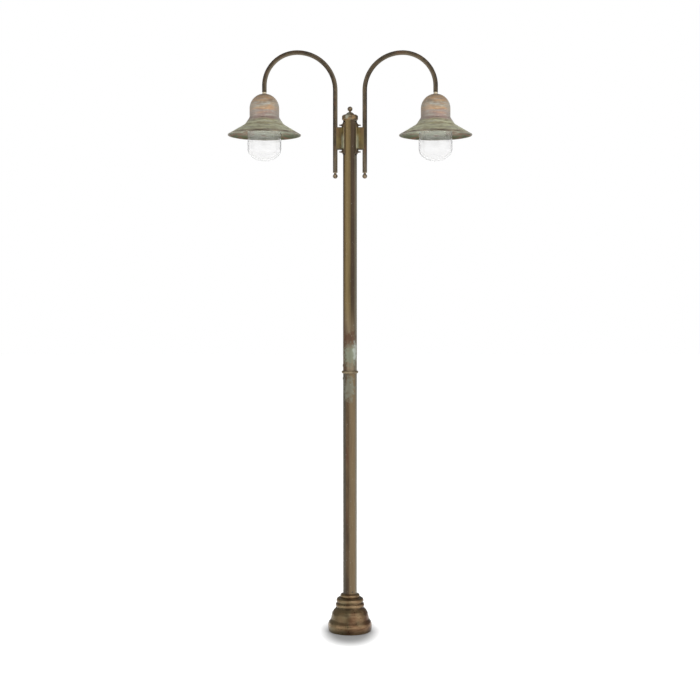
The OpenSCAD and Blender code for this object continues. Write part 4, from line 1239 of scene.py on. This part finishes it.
# ---- Sealing rings ----
# A rubber ring lies on each glass's shoulder and is squeezed against the cup's mouth.
RING_IN = 50.8
cad_low, cad_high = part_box("glass_gasket_right")
ring_bottom, ring_top = cad_low[2] / MM, cad_high[2] / MM
ring_out = (cad_high[0] / MM) - LAMP_X
ring_mid = (ring_bottom + ring_top) / 2
ring_r = (ring_top - ring_bottom) / 2
gasket = arc((RING_IN + ring_r, 0), ring_r, 270, 90, 10) + arc((ring_out - ring_r, 0), ring_r, 90, -90, 10)
for side, sign in SIDES:
    ring = turned(f"sealing_ring_{side}", gasket, [seal_rubber], x=sign * LAMP_X, z=ring_mid, sides=96)
    fit(ring, f"gasket_{side}", "black_rubber", f"glass_gasket_{side}")

# ---- Well glasses ----
# Blown clear glass with a coarse thread on its neck, a shoulder, a straight wall and a rounded end.
GLASS_R = 72.5
GLASS_H = 164.0
GLASS_DOME = 52.0
GLASS_WALL = 3.5
NECK_R = 50.0
NECK_H = 18.0
NECK_PITCH = 5.0
THREAD_DEEP = 0.35
GLASS_IOR = 1.45
GLASS_CLEAR = (0.994, 0.992, 0.993)
GLASS_EDGE_SHADE = (0.56, 0.56, 0.55)
GLASS_DUST_AND_VEIL = (0.90, 0.90, 0.89, 1)
VEIL_FROM = 2.122
VEIL_FULL = 2.150
VEIL_SHARE = 0.1
cad_low, cad_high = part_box("well_glass_right")
SHOULDER_Z = cad_high[2] / MM - CROWN_Z - NECK_H


def bowl(radius, deep, z, steps=24):
    """A quarter ellipse from its widest point down to the axis."""
    turns = [math.radians(90 * i / steps) for i in range(steps + 1)]
    return [(radius * math.cos(t) if i < steps else 0, z - deep * math.sin(t)) for i, t in enumerate(turns)]


def neck_thread(radius, height_, turn):
    """Raises the thread on the outside of the glass's neck."""
    if abs(radius - NECK_R) > 0.01 or height_ < SHOULDER_Z + 2:
        return radius
    ends = min(1, (height_ - SHOULDER_Z - 2) / 3, (SHOULDER_Z + NECK_H - height_) / 3)
    return radius + THREAD_DEEP * max(ends, 0) * math.cos(2 * math.pi * height_ / NECK_PITCH - turn)


def glass_shader(tree, colour, roughness, ripple, depth):
    """The shader of clear glass whose skin ripples by a depth in metres."""
    relief = put(tree, "ShaderNodeBump", {"Height": ripple, "Distance": depth, "Strength": 1.0})
    values = {"Base Color": colour, "Roughness": roughness, "Normal": relief.outputs[0]}
    values |= {"Transmission Weight": 1.0, "IOR": GLASS_IOR}
    return put(tree, "ShaderNodeBsdfPrincipled", values).outputs[0]


clear_glass, tree = new_material("clear_glass")
place = object_place(tree)
# Painted shade: the glass greyer where it is seen edge-on.
grazing = put(tree, "ShaderNodeLayerWeight", {"Blend": 0.35}).outputs["Facing"]
tint_and_edge_shade = blend(tree, fade(tree, grazing, 0.40, 0.92), GLASS_CLEAR, GLASS_EDGE_SHADE)
shader = glass_shader(tree, tint_and_edge_shade, 0.02, mottle(tree, place, 9, 2), 0.0015)
dust_and_veil = put(tree, "ShaderNodeBsdfDiffuse", {"Color": GLASS_DUST_AND_VEIL})
share = fade(tree, mottle(tree, place, 30, 4), 0.2, 0.8, 0.02, 0.04)
# Painted reflection: a white veil on the upper glass, near the shade's rim; below it a thin film of dust.
share = work(tree, "ADD", share, fade(tree, height(tree), VEIL_FROM, VEIL_FULL, 0, VEIL_SHARE))
dusty_and_veiled = put(tree, "ShaderNodeMixShader", {0: share, 1: shader, 2: dust_and_veil.outputs[0]})
put(tree, "ShaderNodeOutputMaterial", {"Surface": dusty_and_veiled.outputs[0]})

end_z = SHOULDER_Z - GLASS_H + GLASS_DOME
body_r = GLASS_R - GLASS_WALL
neck = [(NECK_R, SHOULDER_Z + NECK_H - i * 0.5) for i in range(int(NECK_H / 0.5))]
shoulder = [(NECK_R, SHOULDER_Z + 0.2, 0), (NECK_R, SHOULDER_Z, 0), (GLASS_R, SHOULDER_Z, 14)]
outside = neck + rounded(shoulder + [(GLASS_R, end_z, 0)], 12)
outside += bowl(GLASS_R, GLASS_DOME, end_z)[1:]
inside = rounded(
    [
        (NECK_R - GLASS_WALL, SHOULDER_Z + NECK_H, 0),
        (NECK_R - GLASS_WALL, SHOULDER_Z - GLASS_WALL, 3),
        (body_r, SHOULDER_Z - GLASS_WALL, 10.5),
        (body_r, end_z, 0),
    ],
    12,
)
inside += bowl(body_r, GLASS_DOME - GLASS_WALL, end_z)[1:]
for side, sign in SIDES:
    glass = turned(
        f"well_glass_piece_{side}",
        outside + inside[::-1],
        [clear_glass],
        x=sign * LAMP_X,
        z=CROWN_Z,
        sides=128,
        crease=50,
        shaped=neck_thread,
    )
    fit(glass, f"glass_{side}", "clear_glass", f"well_glass_{side}")

# ---- Bulbs ----
# A clear bulb hangs in each lampholder: a soldered tip, a rolled screw cap with a black insulator, and a
# blown globe. A glass stem inside it carries four upright yellow filaments.
BULB_TIP = -39.114
CAP_SKIRT = BULB_TIP - 27.5
CAP_R = 12.7
CAP_PITCH = 3.6
CAP_DEEP = 0.3
BULB_R = 30.0
BULB_MID = -114.114
BULB_SKIN = 1.0
STEM_END = BULB_MID + 16.5
FILAMENT_R = 0.9
FILAMENT_OUT = 2.2
TIN = (0.62, 0.61, 0.58)
TIN_DULL = (0.44, 0.43, 0.40)
CAP_METAL = (0.70, 0.69, 0.66)
CAP_DULL = (0.50, 0.49, 0.46)
INSULATOR = (0.020, 0.020, 0.022)
INSULATOR_DUST = (0.050, 0.050, 0.052)
BULB_CLEAR = (0.98, 0.985, 0.985, 1)
FILAMENT_YELLOW = (0.85, 0.60, 0.18)
FILAMENT_WARM = (0.78, 0.44, 0.10)


def cap_thread(radius, height_, turn):
    """Rolls the thread into the cap's wall."""
    if abs(radius - CAP_R) > 0.01:
        return radius
    return radius + CAP_DEEP * math.cos(2 * math.pi * height_ / CAP_PITCH - turn)


tin = plain_metal("solder_tin", TIN, TIN_DULL, 300, 0.35)
cap_metal = plain_metal("cap_metal", CAP_METAL, CAP_DULL, 150, 0.3)
tones = (INSULATOR, INSULATOR_DUST)
insulator = cloudy("insulator_glass", tones, (250, 0.4, 0.7), (500, 0.15, 0.3), (700, 0.00003))
bulb_glass, tree = new_material("bulb_glass")
shader = glass_shader(tree, BULB_CLEAR, 0.01, mottle(tree, object_place(tree), 25, 2), 0.0004)
put(tree, "ShaderNodeOutputMaterial", {"Surface": shader})
filament_yellow = cloudy(
    "filament_yellow",
    (FILAMENT_YELLOW, FILAMENT_WARM),
    (420, 0.35, 0.65),
    (600, 0.3, 0.45),
    (900, 0.00004),
    stretch=(1, 1, 0.6),
)

tip = [(0, -1.8), (5, -1.8)] + arc((3.6, -1.4), 1.4, 0, 90, 8) + [(0, 0)]
cap_wall = [(CAP_R, CAP_SKIRT + 3.5 + i * 0.4) for i in range(int((BULB_TIP - 5.5 - CAP_SKIRT - 3.5) / 0.4))]
cap = [(0, BULB_TIP - 7), (11.6, BULB_TIP - 7), (11.6, CAP_SKIRT), (13.0, CAP_SKIRT), (12.8, CAP_SKIRT + 0.6)]
cap += [(12.5, CAP_SKIRT + 3)] + cap_wall + [(12.2, BULB_TIP - 5.2), (11.2, BULB_TIP - 5)]
black_ring = (len(cap) - 1, len(cap) + 3)
cap += [(9, BULB_TIP - 4), (7, BULB_TIP - 3), (5, BULB_TIP - 2.1), (0, BULB_TIP - 2.1)]
globe_line = rounded([(10.7, BULB_TIP - 8, 0), (10.7, CAP_SKIRT - 6, 15), (26.1, BULB_MID + 15.6, 0)], 10)
globe_line += arc((0, BULB_MID), BULB_R, 28, -90, 30)
globe = [(max(r, 0), z) for r, z in wall(globe_line, BULB_SKIN)]
stem = [(0, STEM_END + 0.4), (2.6, STEM_END), (3.0, STEM_END + 0.6)]
stem += [(3.6, STEM_END + 18), (4.2, BULB_TIP - 14), (5.0, BULB_TIP - 7.4), (0, BULB_TIP - 7.2)]
disc = [(0, BULB_MID - 13), (3.2, BULB_MID - 13), (3.6, BULB_MID - 12.7), (3.6, BULB_MID - 11.9)]
disc += [(3.2, BULB_MID - 11.6), (0, BULB_MID - 11.6)]
rod = [(0, -12), (FILAMENT_R - 0.2, -12), (FILAMENT_R, -11.7), (FILAMENT_R, 20.2)]
rod += [(FILAMENT_R - 0.2, 20.5), (0, 20.5)]
for side, sign in SIDES:
    at = {"x": sign * LAMP_X, "z": CROWN_Z}
    solder = turned(f"bulb_tip_{side}", [(r, BULB_TIP + z) for r, z in tip], [tin], sides=40, crease=50, **at)
    fit(solder, f"contact_{side}", "bulb_metal", f"bulb_contact_{side}")
    screw_cap = turned(
        f"screw_cap_{side}", cap, [cap_metal, insulator], sides=72, shaped=cap_thread, lining=black_ring, **at
    )
    fit(screw_cap, f"bulb_{side}", "bulb_metal", f"bulb_cap_{side}")
    blown = turned(f"bulb_globe_piece_{side}", globe, [bulb_glass], sides=72, crease=60, **at)
    fit(blown, f"bulb_{side}", "clear_glass", f"bulb_globe_{side}")
    glass_stem = turned(f"bulb_stem_{side}", stem, [bulb_glass], sides=40, crease=50, **at)
    fit(glass_stem, f"bulb_{side}", "filament", f"bulb_filament_{side}")
    glass_disc = turned(f"bulb_disc_{side}", disc, [bulb_glass], sides=40, crease=50, **at)
    fit(glass_disc, f"bulb_{side}", "filament", f"bulb_filament_{side}")
    filaments = grown(
        f"filaments_{side}",
        turned("filament", rod, [], sides=20, crease=50),
        screw_ring,
        count=4,
        rows=1,
        first_angle=math.radians(45),
        angle_step=ACROSS,
        radius=FILAMENT_OUT * MM,
        height=(CROWN_Z + BULB_MID) * MM,
        lean=0.0,
        metal=filament_yellow,
    )
    filaments.data.transform(Matrix.Translation((sign * LAMP_X * MM, 0, 0)))
    fit(filaments, f"bulb_{side}", "filament", f"bulb_filament_{side}")

cad_box = [list(corner) for corner in cad_box]
